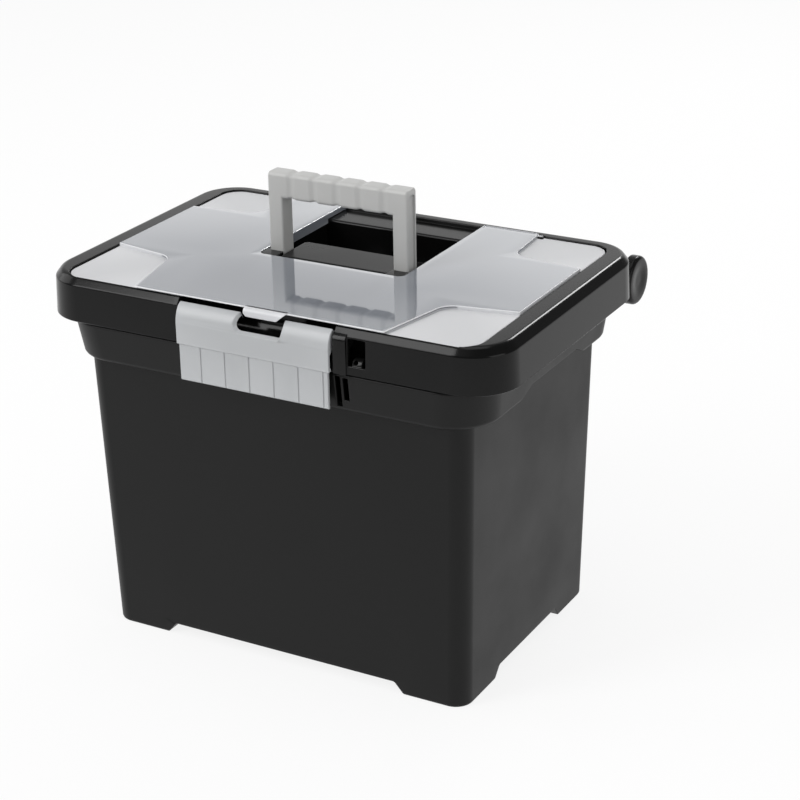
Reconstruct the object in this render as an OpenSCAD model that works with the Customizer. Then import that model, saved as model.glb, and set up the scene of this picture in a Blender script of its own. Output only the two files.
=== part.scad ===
// Portable file box: a tub for hanging files, a hinged lid with an organiser under a
// translucent cover, a folding carrying handle and a front latch.

/* [Lid] */
// Length of the lid, the longest side of the box
lid_l = 381; // [365:1:400]
// Depth of the lid from its front face to its back face
lid_w = 251; // [244:1:262]
// Height of the seam between the tub and the lid
seam_z = 256; // [235:1:280]
// Height of the lid from the seam to the top of its rim
lid_h = 34.5; // [33:0.5:38]
// Plan radius of the lid's corners
lid_corner_r = 36; // [30:1:40]
// Radius that rolls the rim over into the side wall
rim_r = 6.5; // [4:0.5:8]
// How far the lid's side wall leans inwards over its height
lid_draft = 1; // [0.5:0.1:1.5]
// Thickness of the moulded walls of the lid and the tub
wall = 2.5; // [2:0.1:2.8]
// Gap at the seam between the lid and the tub
seam_gap = 0.3; // [0.2:0.1:0.6]

/* [Tub] */
// How far the lid overhangs the tub's collar at each end
end_overhang = 14.8; // [12:0.2:17]
// How far the lid overhangs the tub's collar at the front and the back
side_overhang = 2.7; // [2:0.1:3]
// Height of the collar under the lid
collar_h = 31.5; // [28:0.5:36]
// How far the collar leans inwards from the seam to its lower edge
collar_taper = 3.2; // [2:0.2:4]
// How far the collar's rolled lower edge draws in
collar_roll = 6.5; // [5:0.5:7]
// Height of the collar's rolled lower edge
collar_roll_h = 4.5; // [3:0.5:5]
// How far the collar stands out from the tub's end walls
end_ledge = 12.9; // [11:0.1:14]
// How far the collar stands out from the tub's front and back walls
side_ledge = 8.2; // [7:0.1:9]
// How far each tub wall leans inwards from the collar to the feet
tub_draft = 5; // [3:0.5:7]
// Radius of the tub's upright corners
tub_corner_r = 14; // [10:1:18]
// Radius of the tub's lowest edge
tub_edge = 2; // [1:0.5:3]
// Height of the corner feet
foot_h = 9.2; // [6:0.2:12]
// Length of each foot along the tub's edges
foot_l = 50; // [40:1:60]
// Run of the slope at a foot's inner end
foot_slope = 8; // [5:1:12]

/* [Grips and rails] */
// Half length of an end grip at the collar's lower edge
grip_low = 58; // [50:1:64]
// Half length of an end grip at its top
grip_high = 37; // [30:1:44]
// Height of an end grip above the collar's lower edge
grip_h = 9.5; // [8:0.5:12]
// How far the middle of a hanging-file rail lies inside the tub's end wall
rail_in = 6.1; // [5:0.1:8]
// Thickness of a hanging-file rail
rail_t = 2.5; // [2:0.1:3]
// Height of a rail above its shelf
rail_h = 18.5; // [14:0.5:20]
// Half length of a rail
rail_half = 88; // [70:1:92]

/* [Organiser] */
// How far the cover's recess lies in from the lid's ends
recess_end = 20.2; // [18:0.2:22]
// How far the cover's recess lies in from the lid's front
recess_front = 5.7; // [5:0.1:6.5]
// How far the cover's recess lies in from the lid's back
recess_back = 14.7; // [14:0.1:16]
// Corner radius of the cover's recess
recess_r = 16; // [12:1:20]
// Depth of the compartments below the cover
tray_d = 24; // [20:1:25]
// Thickness of the dividers
divider_t = 2; // [1.5:0.1:2.5]
// Depth of the handle well below the rim
well_d = 27; // [25:0.5:28]
// How far the cut-out in the cover runs past each end of the handle
well_room = 3; // [1.6:0.1:5]
// Distance from the lid's centre line forward to the front of the well
well_front = 20.5; // [18:0.5:24]

/* [Cover] */
// Thickness of the translucent cover
cover_t = 1.8; // [1.4:0.1:2.2]
// Height of the cover's plate above the rim
plate_rise = 1.5; // [1.2:0.1:2]
// Height of the plate above the corner pads
pad_drop = 2.6; // [2:0.1:3]
// How far the plate laps over the rim
lip = 3.2; // [2.5:0.1:3.5]
// Clearance round the cover in its recess
cover_gap = 0.4; // [0.3:0.1:0.6]
// Length of a corner pad along the lid
pad_l = 57; // [50:1:64]
// Depth of a front corner pad at its inner corner
pad_front_w = 58.5; // [52:0.5:64]
// Depth of a back corner pad at its inner corner
pad_back_w = 48.4; // [44:0.2:56]
// How far a front pad's inner edge leans out towards the middle
pad_lean = 11.5; // [6:0.5:14]
// How far a front pad's back edge runs back towards the lid's end
pad_run = 15.5; // [8:0.5:18]
// How far a back pad's edges run out of square
pad_back_run = 4; // [2:0.5:8]
// Corner radius of the pads
pad_r = 9; // [5:1:12]
// Width of the cover's finger tab
tab_w = 33; // [28:1:36]
// Sideways place of the tab
tab_x = 8.5; // [6:0.5:10]
// Length of the tab below the top of the plate
tab_d = 8.5; // [7:0.5:9]
// How far the tab stands out from the cover's lip
tab_out = 3.2; // [2.6:0.1:3.4]

/* [Latch] */
// Length of the latch
latch_l = 127; // [120:1:132]
// Radius of the latch's rolled top about its pivot
latch_r = 9.4; // [9:0.1:9.8]
// Distance of the latch's pivot behind the lid's front face
latch_in = 4.9; // [4.5:0.1:5.4]
// Distance of the latch's pivot below the top of the rim
latch_drop = 10.5; // [10.3:0.1:11]
// Height of the smooth upper part of the latch below its pivot
latch_upper = 23; // [20:0.5:26]
// Height of the ribbed lower part of the latch
latch_lower = 28; // [24:0.5:30]
// Thickness of the latch
latch_t = 2.6; // [2.2:0.1:3]
// Step between the upper and the lower part
latch_step = 1; // [0.5:0.1:1.4]
// Spacing of the grooves in the lower part
groove_pitch = 20.3; // [18:0.1:22]
// Width of a groove
groove_w = 1; // [0.8:0.1:1.6]
// Depth of a groove
groove_d = 0.7; // [0.4:0.1:1]
// Width of the notch over the tab
notch_w = 44; // [42:1:48]
// Sideways place of the notch
notch_x = 5.5; // [4:0.5:8]
// Depth of the notch below the pivot
notch_d = 6; // [5.5:0.5:7]
// Radius of the latch's pivot stubs
latch_pin_r = 2.5; // [2:0.1:3]

/* [Handle] */
// Overall length of the handle
handle_l = 118; // [110:1:121]
// Height of the handle above its pivot
handle_h = 72; // [60:1:76]
// Height of the grip
grip_t = 20; // [17:0.5:22]
// Thickness of the grip
grip_d = 15; // [12:0.5:15.5]
// Width of a leg
leg_w = 12.2; // [9:0.1:12.5]
// Thickness of a leg
leg_d = 14.6; // [11:0.2:15]
// Width of the gaps between the grip's lobes
lobe_gap = 3.6; // [2.5:0.1:5]
// Depth of the gaps between the lobes
lobe_d = 0.9; // [0.6:0.1:2]
// Number of lobes on the grip
lobe_n = 6; // [4:1:8]
// Distance of the handle's pivot below the top of the rim
handle_drop = 10.5; // [10:0.5:12]
// Radius of the handle's pivot stubs
handle_pin_r = 4; // [3:0.1:4.5]

/* [Rear hinge] */
// Distance of the hinge axis behind the lid's back face
hinge_out = 2; // [1.5:0.1:2.5]
// Height of the hinge axis above the seam
hinge_up = 5; // [4.5:0.1:6]
// Radius of the hinge lugs and knuckles
knuckle_r = 10; // [9:0.1:10.5]
// Radius of the hinge pin's shank
pin_r = 4; // [3:0.1:5]
// Radius of the hinge pin's round head
pin_head_r = 19.5; // [16:0.5:20]
// Thickness of the hinge pin's head
pin_head_t = 8.8; // [7:0.2:10]
// Distance from the lid's end to the head's outer face
pin_in = 5.2; // [4:0.2:7]
// Length of a lid knuckle
knuckle_l = 15.4; // [12:0.2:18]
// Length of a tub lug
lug_l = 18; // [14:0.5:22]

/* [Hidden] */
$fn = 64;
// Overrun of every cut
over = 1;
// Thickness of the thin slices that a hull joins, and of small overlaps
skin = 0.02;
// Segments in each rounded corner of an outline
corner_steps = 8;
// Angle between the slices that round the lid's rim
rim_step = 15;
// Radial clearance of every pivot
fit_gap = 0.05;

// Lid
lid_hx = lid_l / 2;
lid_hy = lid_w / 2;
lid_base_z = seam_z + seam_gap;
rim_z = seam_z + lid_h;
// Flange inside the lid's lower edge
seat_w = 16;
seat_t = 2;

// Tub
collar_z = seam_z - collar_h;
collar_bend_z = collar_z + collar_roll_h;
collar_top_hx = lid_hx - end_overhang;
collar_top_hy = lid_hy - side_overhang;
collar_hx = collar_top_hx - collar_taper;
collar_hy = collar_top_hy - collar_taper;
tub_top_hx = collar_hx - end_ledge;
tub_top_hy = collar_hy - side_ledge;
tub_low_hx = tub_top_hx - tub_draft;
tub_low_hy = tub_top_hy - tub_draft;
floor_z = foot_h + wall;
foot_room = foot_l - wall;
// Height of a rail's shelf above the collar's ledge
rail_rise = 4;
shelf_z = collar_z + wall + rail_rise;
rail_span = 2 * (tub_top_hx - rail_in);
// How far the end grips lie behind the lid's centre line
grip_y = 3;

// Cover and its recess
handle_half = handle_l / 2;
well_half = handle_half + well_room;
plate_z = rim_z + plate_rise;
pad_z = plate_z - pad_drop;
pad_under_z = pad_z - cover_t;
recess_z = pad_under_z - seam_gap;
recess_hx = lid_hx - recess_end;
recess_fy = recess_front - lid_hy;
recess_by = lid_hy - recess_back;
cover_hx = recess_hx - cover_gap;
cover_fy = recess_fy + cover_gap;
cover_by = recess_by - cover_gap;
lip_t = 1.2;
lip_y = cover_fy - lip;
tab_y = lip_y - tab_out;
tab_x0 = tab_x - tab_w / 2;
tab_x1 = tab_x + tab_w / 2;
// Cut-out for the handle, and the skirts along its sides
cut_half = well_half - cover_gap;
cut_r = 6;
skirt_d = 8;
// Hinge bars and their pivot stubs
bar_r = 2.5;
bar_gap = 0.4;
bar_end = 108;
cover_pin_r = 1.4;
cover_pin_l = 4;
boss_l = 4.6;
boss_x = bar_end + cover_gap;
bar_y = cover_by + seam_gap;
bar_z = plate_z - bar_r;

// Latch
latch_y = latch_in - lid_hy;
latch_z = rim_z - latch_drop;
latch_half = latch_l / 2;
latch_top_angle = 62;
latch_low_z = latch_z - latch_upper - latch_lower;
latch_pin_l = 9.5;
// Clearance at each end of the latch, and round its rolled top
latch_gap = 1;
pocket_gap = 0.8;
pocket_r = latch_r + pocket_gap;
latch_room = latch_half + latch_gap;
// Cheeks at the ends of the latch
cheek_r = 5;
cheek_t = 2.6;
cheek_d = 12;
groove_n = 6;
groove_x = 7.2;
notch_r = 6;
// Hook inside the latch, and the rib on the collar that it catches
hook_drop = 38;
hook_h = 4;
hook_reach = 4;
hook_half = 38;
hook_z = latch_z - hook_drop;
catch_gap = 0.4;
catch_rise = 1;
catch_h = 4;
catch_z = hook_z + catch_rise;
// Lugs beside the latch and the window in the lid's front
lug_r = 6.4;
lug_w = 10.5;
window_gap = 0.5;
window_w = 14;
window_low = 17;
window_high = 3;
window_x = latch_room + lug_w + window_gap;
// Slots in the collar beside the latch
slot_gap = 3.5;
slot_x = latch_half + slot_gap;
slot_w = 4.5;
slot_d = 1.8;
slot_pitch = 6.6;
slot_n = 2;
slot_low = 25;
slot_high = 4;
slot_shorter = 4;

// Organiser tray and handle well
tray_hx = recess_hx - seam_gap;
tray_fy = latch_y + pocket_r;
tray_by = recess_by - seam_gap;
tray_z = recess_z - tray_d;
tray_r = 12;
bin_r = 5;
skirt_room = 2;
well_hx = well_half + skirt_room;
well_z = rim_z - well_d;
well_low_z = well_z - wall;
deck_drop = 2;
deck_z = rim_z - deck_drop;

// Handle and its platform
leg_x = handle_half - leg_w;
handle_y = 0;
handle_z = rim_z - handle_drop;
handle_gap = 1.5;
handle_edge = 3.5;
deck_by = handle_y - leg_d / 2 - handle_gap;
// Room for fingers behind the folded handle, where the well ends and a flat ledge begins
finger_room = 11.3;
well_back_y = handle_y + handle_h + finger_room;
panel_d = 1.2;
panel_edge = 2.2;
platform_gap = 1.6;
platform_hx = leg_x - platform_gap;
platform_in = 7.5;
platform_fy = platform_in - well_front;
platform_by = 22;
platform_rise = 1.6;
platform_z = deck_z + platform_rise;
platform_cut = 2.4;

// Rear hinge
hinge_y = lid_hy + hinge_out;
hinge_z = seam_z + hinge_up;
hinge_room = 0.6;
head_x = lid_hx - pin_in;
knuckle_x = head_x - pin_head_t - seam_gap;
knuckle_x0 = knuckle_x - knuckle_l;
lug_x = knuckle_x0 - hinge_room;
lug_x0 = lug_x - lug_l;
lug_root = 15;
bead_r = 5;
bead_l = 2.4;
head_dish = 1.6;
head_rim = 3;
head_edge = 1.2;

// The origin lies under the middle of the box's whole depth, latch and hinge included
front_y = latch_y - latch_r;
back_y = hinge_y + pin_head_r;
centre_y = (front_y + back_y) / 2;

// Points on an arc from angle a to angle b
function arc(cx, cy, r, a, b) = [
    for (i = [0 : corner_steps])
        let (t = a + (b - a) * i / corner_steps)
        [cx + r * cos(t), cy + r * sin(t)]];

// A rectangle with half sizes hx and hy and rounded corners
function round_rect(hx, hy, r) = concat(
    arc(hx - r, hy - r, r, 0, 90),
    arc(r - hx, hy - r, r, 90, 180),
    arc(r - hx, r - hy, r, 180, 270),
    arc(hx - r, r - hy, r, 270, 360));

function unit(v) = v / norm(v);

// An angle brought into the half turn either way
function turn(a) = a > 180 ? a - 360 : (a < -180 ? a + 360 : a);

// The points that round one corner of an outline, between its neighbours
function round_corner(before, corner, after, r) =
    let (u = unit(before - corner))
    let (v = unit(after - corner))
    let (half = acos(u * v) / 2)
    let (centre = corner + unit(u + v) * r / sin(half))
    let (first = corner + u * r / tan(half) - centre)
    let (last = corner + v * r / tan(half) - centre)
    let (start = atan2(first[1], first[0]))
    let (sweep = turn(atan2(last[1], last[0]) - start))
    arc(centre[0], centre[1], r, start, start + sweep);

// An outline with each corner rounded by its own radius, where zero leaves it sharp
function rounded(points, radii) = [
    for (i = [0 : len(points) - 1])
        let (n = len(points))
        each radii[i] == 0
            ? [points[i]]
            : round_corner(points[(i + n - 1) % n], points[i], points[(i + 1) % n], radii[i])];

// Front face of the collar at height z, between its lower bend and the seam
function collar_face_y(z) = -collar_hy - collar_taper * (z - collar_bend_z) / (seam_z - collar_bend_z);

// A thin slice of a rounded rectangle at height z, for a hull
module slice(hx, hy, r, z) {
    translate([0, 0, z]) linear_extrude(skin) polygon(round_rect(hx, hy, r));
}

// An outline in Y and Z, drawn out along X from x0 to x1
module along_x(x0, x1) {
    translate([x0, 0, 0]) rotate([90, 0, 90]) linear_extrude(x1 - x0) children();
}

// An outline in X and Z, drawn out along Y from y0 to y1
module along_y(y0, y1) {
    translate([0, y1, 0]) rotate([90, 0, 0]) linear_extrude(y1 - y0) children();
}

// An outline in X and Y, drawn out along Z from z0 to z1
module along_z(z0, z1) {
    translate([0, 0, z0]) linear_extrude(z1 - z0) children();
}

// A rod along X from x0 to x1 whose axis passes through y and z
module rod(x0, x1, y, z, r) {
    translate([x0, y, z]) rotate([0, 90, 0]) cylinder(r = r, h = x1 - x0);
}

// A box given by its lowest and highest corners
module block(low, high) {
    translate(low) cube(high - low);
}

// The children, and their mirror image on the left
module both_ends() {
    children();
    mirror([1, 0, 0]) children();
}

// Tub walls outside, from the feet up to the collar
module tub_outside() {
    hull() {
        slice(tub_low_hx - tub_edge, tub_low_hy - tub_edge, tub_corner_r - tub_edge, 0);
        slice(tub_low_hx, tub_low_hy, tub_corner_r, tub_edge);
        slice(tub_top_hx, tub_top_hy, tub_corner_r, collar_z + wall);
    }
}

// Hollow of the tub's walls, from height low up past the end grips
module tub_hollow(low) {
    top_z = collar_z + grip_h + wall + over;
    hull() {
        slice(tub_low_hx - wall, tub_low_hy - wall, tub_corner_r - wall, low);
        slice(tub_top_hx - wall, tub_top_hy - wall, tub_corner_r - wall, top_z);
    }
}

// Collar outside, tapering down to its rolled lower edge
module collar_outside() {
    low_r = lid_corner_r - collar_roll;
    hull() {
        slice(collar_hx - collar_roll, collar_hy - collar_roll, low_r, collar_z);
        slice(collar_hx, collar_hy, lid_corner_r, collar_bend_z);
        slice(collar_top_hx, collar_top_hy, lid_corner_r, seam_z - skin);
    }
}

// Hollow of the collar, open at the seam
module collar_hollow() {
    low_in = collar_roll + wall;
    hull() {
        slice(collar_hx - low_in, collar_hy - low_in, lid_corner_r - low_in, collar_z + wall);
        slice(collar_hx - wall, collar_hy - wall, lid_corner_r - wall, collar_bend_z + wall);
        slice(collar_top_hx - wall, collar_top_hy - wall, lid_corner_r - wall, seam_z + over);
    }
}

// Finger grip under the collar at the right end, grown by the wall for the inner skin
module end_grip(grow) {
    low = grip_low + grow;
    high = grip_high + grow;
    top_z = collar_z + grip_h + grow;
    inner = tub_top_hx - grow;
    along_x(inner, lid_hx) translate([grip_y, 0]) polygon([
        [-low, collar_z - over], [low, collar_z - over], [low, collar_z],
        [high, top_z], [-high, top_z], [-low, collar_z]]);
}

// Hollows inside the four feet
module foot_hollows() {
    intersection() {
        tub_hollow(wall);
        for (sx = [-1, 1], sy = [-1, 1])
            translate([sx * tub_low_hx, sy * tub_low_hy, wall + floor_z / 2])
                cube([2 * foot_room, 2 * foot_room, floor_z], center = true);
    }
}

// Outline of the gap between two feet along one edge
module foot_gap(half) {
    inner = half - foot_l;
    top = inner - foot_slope;
    polygon([[-inner, -over], [inner, -over], [inner, 0], [top, foot_h], [-top, foot_h], [-inner, 0]]);
}

// Lug that carries the hinge pin behind the tub's back wall, on the right
module tub_lug() {
    back = hinge_y + knuckle_r;
    rod(lug_x0, lug_x, hinge_y, hinge_z, knuckle_r);
    along_x(lug_x0, lug_x) polygon([
        [collar_hy - lug_root, collar_bend_z], [collar_hy, collar_bend_z], [back, hinge_z - knuckle_r],
        [back, hinge_z], [hinge_y, hinge_z], [collar_top_hy - wall, seam_z], [collar_hy - lug_root, seam_z]]);
}

// Rail for hanging files along the right end, on a shelf from the tub's wall
module file_rail() {
    outer = rail_span / 2 + rail_t / 2;
    inner = outer - rail_t;
    block([inner, -rail_half, shelf_z - rail_t], [outer, rail_half, shelf_z + rail_h]);
    block([inner, -rail_half, shelf_z - rail_t], [tub_top_hx - wall / 2, rail_half, shelf_z]);
    block([tub_top_hx - wall, -rail_half, collar_z], [tub_top_hx, rail_half, shelf_z]);
}

// Rib on the collar that the latch's hook catches under
module latch_catch() {
    face_y = front_y + latch_t + hook_reach + catch_gap;
    block([-hook_half, face_y, catch_z], [hook_half, -collar_hy, catch_z + catch_h]);
}

// Slots in the collar beside the latch, which follow its leaning face
module collar_slots() {
    for (i = [0 : slot_n - 1]) {
        x = slot_x + i * slot_pitch;
        low_z = seam_z - slot_low + i * slot_shorter;
        high_z = seam_z - slot_high;
        along_x(x, x + slot_w - i * latch_gap) polygon([
            [-lid_hy, low_z], [-lid_hy, high_z],
            [collar_face_y(high_z) + slot_d, high_z], [collar_face_y(low_z) + slot_d, low_z]]);
    }
}

module tub() {
    color("#2a2a2a") translate([0, -centre_y, 0]) difference() {
        union() {
            difference() {
                union() {
                    tub_outside();
                    collar_outside();
                    both_ends() tub_lug();
                }
                tub_hollow(floor_z);
                difference() {
                    collar_hollow();
                    both_ends() end_grip(wall);
                }
                foot_hollows();
                both_ends() end_grip(0);
                along_y(-lid_hy, lid_hy) foot_gap(tub_low_hx);
                along_x(-lid_hx, lid_hx) foot_gap(tub_low_hy);
            }
            both_ends() file_rail();
            latch_catch();
        }
        both_ends() rod(lug_x0 - over, lug_x + over, hinge_y, hinge_z, pin_r + fit_gap);
        collar_slots();
    }
}

// Lid outside, with its rim rolled over into the side walls
module lid_outside() {
    hull() {
        slice(lid_hx, lid_hy, lid_corner_r, lid_base_z);
        for (a = [0 : rim_step : 90]) {
            in = lid_draft + rim_r * (1 - cos(a));
            z = rim_z - rim_r + rim_r * sin(a) - skin;
            slice(lid_hx - in, lid_hy - in, lid_corner_r - in, z);
        }
    }
}

// Hollow of the lid under its rim
module lid_hollow() {
    side_in = lid_draft + wall;
    top_in = lid_draft + rim_r;
    hull() {
        slice(lid_hx - wall, lid_hy - wall, lid_corner_r - wall, lid_base_z - over);
        slice(lid_hx - side_in, lid_hy - side_in, lid_corner_r - side_in, rim_z - rim_r);
        slice(lid_hx - top_in, lid_hy - top_in, lid_corner_r - top_in, rim_z - wall);
    }
}

// Outline of the cover's recess, grown by a margin
module recess_outline(grow) {
    half = (recess_by - recess_fy) / 2;
    translate([0, recess_fy + half]) polygon(round_rect(recess_hx + grow, half + grow, recess_r + grow));
}

// Flange inside the lid's lower edge that rests on the collar
module lid_seat() {
    outer_in = wall / 2;
    along_z(lid_base_z, lid_base_z + seat_t) difference() {
        polygon(round_rect(lid_hx - outer_in, lid_hy - outer_in, lid_corner_r - outer_in));
        polygon(round_rect(lid_hx - wall - seat_w, collar_top_hy - 2 * wall, lid_corner_r - 2 * wall));
    }
}

// Solid body of the organiser tray, the shelf under the cover, and the latch's pocket
module tray_body() {
    half = (tray_by - tray_fy) / 2;
    along_z(tray_z - wall, recess_z) translate([0, tray_fy + half])
        polygon(round_rect(tray_hx, half, tray_r));
    along_z(recess_z - wall, rim_z - wall + skin) recess_outline(wall);
    block([-latch_room - wall, wall - lid_hy - skin, latch_z - pocket_r - wall],
        [latch_room + wall, tray_fy + skin, recess_z]);
}

// One compartment between two corners of the plan
module bin(low, high) {
    half = (high - low) / 2;
    along_z(tray_z, rim_z + over) translate(low + half) polygon(round_rect(half[0], half[1], bin_r));
}

// Compartments of the organiser: one at each end and one in front of the well
module bins() {
    front = tray_fy + wall;
    both_ends() bin([well_hx + divider_t, front], [tray_hx - wall, tray_by - wall]);
    bin([-well_hx, front], [well_hx, -well_front - wall]);
}

// Well that the handle folds into
module well() {
    block([-well_hx, deck_by, well_z], [well_hx, well_back_y, rim_z + over]);
}

// Hollows under the flat ledge behind the well and under the deck before it
module under_hollows() {
    low_z = tray_z - wall - over;
    high_z = recess_z - wall;
    block([-well_hx, well_back_y + wall, low_z], [well_hx, tray_by - wall, high_z]);
    block([wall - well_hx, -well_front, low_z], [well_hx - wall, deck_by - wall, high_z]);
}

// Deck inside the front of the cover's cut-out
module deck() {
    along_z(recess_z - skin, deck_z) intersection() {
        cut_outline(-cover_gap);
        translate([-well_hx, -lid_hy]) square([2 * well_hx, lid_hy + deck_by]);
    }
}

// Outline of the platform, with cut corners, drawn in by a margin
module platform_outline(in) {
    x = platform_hx - in;
    front = platform_fy + in;
    back = platform_by - in;
    polygon([
        [platform_cut / 2 - x, front], [x - platform_cut / 2, front], [x, front + platform_cut / 2],
        [x, back - platform_cut], [x - platform_cut, back], [platform_cut - x, back],
        [-x, back - platform_cut], [-x, front + platform_cut / 2]]);
}

// Lug beside the latch at one end, with radius r about the latch's pivot
module latch_lug(r) {
    end = latch_room + lug_w;
    rod(latch_room, end, latch_y, latch_z, r);
    block([latch_room, latch_y - r, lid_base_z], [end, latch_y, latch_z]);
}

// Boss beside the cover's hinge bar, on the right
module cover_boss() {
    block([boss_x, bar_y - bar_r - cover_gap, recess_z - wall], [boss_x + boss_l, recess_by + lip, rim_z]);
}

// Room for the tub's hinge lug and the hinge pin's head, on the right
module hinge_cuts() {
    x0 = lug_x0 - seam_gap - bead_l - hinge_room;
    x1 = lug_x + hinge_room / 2;
    r = knuckle_r + hinge_room;
    rod(x0, x1, hinge_y, hinge_z, r);
    block([x0, hinge_y - r, lid_base_z - over], [x1, back_y, hinge_z]);
    rod(knuckle_x, lid_hx + over, hinge_y, hinge_z, pin_head_r + hinge_room);
}

// Bores on the right for the hinge pin, the latch, the handle and the cover
module lid_bores() {
    rod(knuckle_x0 - over, knuckle_x + over, hinge_y, hinge_z, pin_r + fit_gap);
    rod(latch_room - over, latch_room + lug_w + over, latch_y, latch_z, latch_pin_r + fit_gap);
    rod(platform_hx - wall - over, platform_hx + over, handle_y, handle_z, handle_pin_r + fit_gap);
    rod(bar_end - over, boss_x + boss_l + over, bar_y, bar_z, cover_pin_r + fit_gap);
}

// The lid's shell and tray with their pockets cut, before the platform, lugs and bosses
module lid_shell() {
    difference() {
        union() {
            difference() {
                lid_outside();
                lid_hollow();
            }
            lid_seat();
            tray_body();
            both_ends() rod(knuckle_x0, knuckle_x, hinge_y, hinge_z, knuckle_r);
        }
        along_z(recess_z, plate_z + over) recess_outline(0);
        bins();
        well();
        // Pocket that the latch's rolled top turns in
        rod(-latch_room, latch_room, latch_y, latch_z, pocket_r);
        block([-latch_room, front_y - over, latch_z], [latch_room, tray_fy, plate_z + over]);
        // Window beside the right lug
        block([window_x, front_y - over, latch_z - window_low],
            [window_x + window_w, tray_fy - seam_gap, latch_z + window_high]);
        both_ends() hinge_cuts();
        // Grooves that the cover's hinge bars turn in
        both_ends() rod(cut_half - cover_gap, boss_x, bar_y, bar_z, bar_r + bar_gap);
    }
}

module lid() {
    color("#2c2c2c") translate([0, -centre_y, 0]) difference() {
        union() {
            lid_shell();
            deck();
            along_z(well_low_z, platform_z) platform_outline(0);
            latch_lug(lug_r);
            // The left lug stays flush with the lid's front
            mirror([1, 0, 0]) latch_lug(latch_in - fit_gap);
            both_ends() cover_boss();
        }
        under_hollows();
        along_z(well_low_z - over, platform_z - wall) platform_outline(wall);
        both_ends() lid_bores();
    }
}

// Outline of the cover's raised plate, which leaves a pad out at each corner. Its outer
// edges move out by one margin, and its edges along the pads by another.
module plate_outline(rim_grow, pad_grow) {
    x = cover_hx + rim_grow;
    front = cover_fy - rim_grow;
    back = cover_by + rim_grow;
    pad_x = cover_hx - pad_l + pad_grow;
    pad_fy = cover_fy + pad_front_w - pad_grow;
    pad_by = cover_by - pad_back_w + pad_grow;
    front_x = pad_x - pad_lean;
    back_x = pad_x - pad_back_run;
    side_fy = pad_fy + pad_run;
    side_by = pad_by - pad_back_run;
    polygon(rounded([
        [-front_x, front], [front_x, front], [pad_x, pad_fy], [x, side_fy],
        [x, side_by], [pad_x, pad_by], [back_x, back],
        [-back_x, back], [-pad_x, pad_by], [-x, side_by],
        [-x, side_fy], [-pad_x, pad_fy]],
        [0, 0, pad_r, 0, 0, pad_r, 0, 0, pad_r, 0, 0, pad_r]));
}

// Outline of the cut-out for the handle, open to the back
module cut_outline(grow) {
    half = cut_half + grow;
    front = -well_front - grow;
    r = cut_r + grow;
    polygon(rounded([[-half, front], [half, front], [half, lid_hy], [-half, lid_hy]], [r, r, 0, 0]));
}

// Everything in front of the line y, as an outline
module in_front_of(y) {
    translate([-lid_l, -lid_w]) square([2 * lid_l, lid_w + y]);
}

// Pads, raised plate and lip, with the plate hollow from below and cut out for the handle
module cover_shell() {
    half = (cover_by - cover_fy) / 2;
    difference() {
        union() {
            along_z(pad_under_z, pad_z) translate([0, cover_fy + half])
                polygon(round_rect(cover_hx, half, recess_r - cover_gap));
            along_z(pad_under_z, plate_z) plate_outline(0, 0);
            along_z(plate_z - lip_t, plate_z) intersection() {
                plate_outline(lip, 0);
                in_front_of(cover_by);
            }
        }
        along_z(pad_under_z - over, plate_z - cover_t) plate_outline(-cover_t, -cover_t);
        along_z(pad_under_z - over, plate_z + over) cut_outline(0);
        // Room for the lid's bosses
        both_ends() block([bar_end, bar_y - bar_r - 2 * cover_gap, pad_under_z - over],
            [boss_x + boss_l + cover_gap, lid_hy, plate_z + over]);
    }
}

// Walls round the cut-out, with deeper skirts along its sides
module cut_walls() {
    along_z(pad_under_z, plate_z) intersection() {
        difference() {
            cut_outline(cover_t);
            cut_outline(0);
        }
        in_front_of(bar_y);
    }
    both_ends() block([cut_half, deck_by + cover_gap, plate_z - skirt_d],
        [cut_half + cover_t, well_back_y - cover_gap, plate_z - cover_t + skin]);
}

// Hinge bar at the back of the cover's right arm, with its pivot stub
module cover_bar() {
    rod(cut_half, bar_end, bar_y, bar_z, bar_r);
    rod(bar_end - over, bar_end + cover_pin_l, bar_y, bar_z, cover_pin_r);
}

// Finger tab that hangs over the front of the lid
module cover_tab() {
    block([tab_x0, tab_y, plate_z - lip_t], [tab_x1, cover_fy, plate_z]);
    block([tab_x0, tab_y, plate_z - tab_d], [tab_x1, tab_y + cover_t, plate_z]);
}

module organiser_cover() {
    color("#c4c8cf") translate([0, -centre_y, 0]) {
        difference() {
            cover_shell();
            // Room for the latch's rolled top
            rod(-latch_room - latch_gap, latch_room + latch_gap, latch_y, latch_z, latch_r + pocket_gap / 2);
        }
        cut_walls();
        both_ends() cover_bar();
        cover_tab();
    }
}

// Cross-section of the grip in Y and Z, drawn in by a margin
module grip_outline(in) {
    translate([handle_y, handle_z + handle_h - grip_t / 2])
        polygon(round_rect(grip_d / 2 - in, grip_t / 2 - in, handle_edge - in / 2));
}

// Leg of the handle on the right, with a rounded foot, a pivot stub and a sunk outer panel
module handle_leg() {
    half_d = leg_d / 2;
    top_z = handle_z + handle_h - grip_t / 2;
    difference() {
        union() {
            rod(leg_x, handle_half, handle_y, handle_z, half_d);
            block([leg_x, handle_y - half_d, handle_z], [handle_half, handle_y + half_d, top_z]);
        }
        block([handle_half - panel_d, handle_y - half_d + panel_edge, handle_z + half_d],
            [handle_half + over, handle_y + half_d - panel_edge, top_z - panel_edge]);
    }
    rod(platform_hx - wall, leg_x + over, handle_y, handle_z, handle_pin_r);
}

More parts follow.
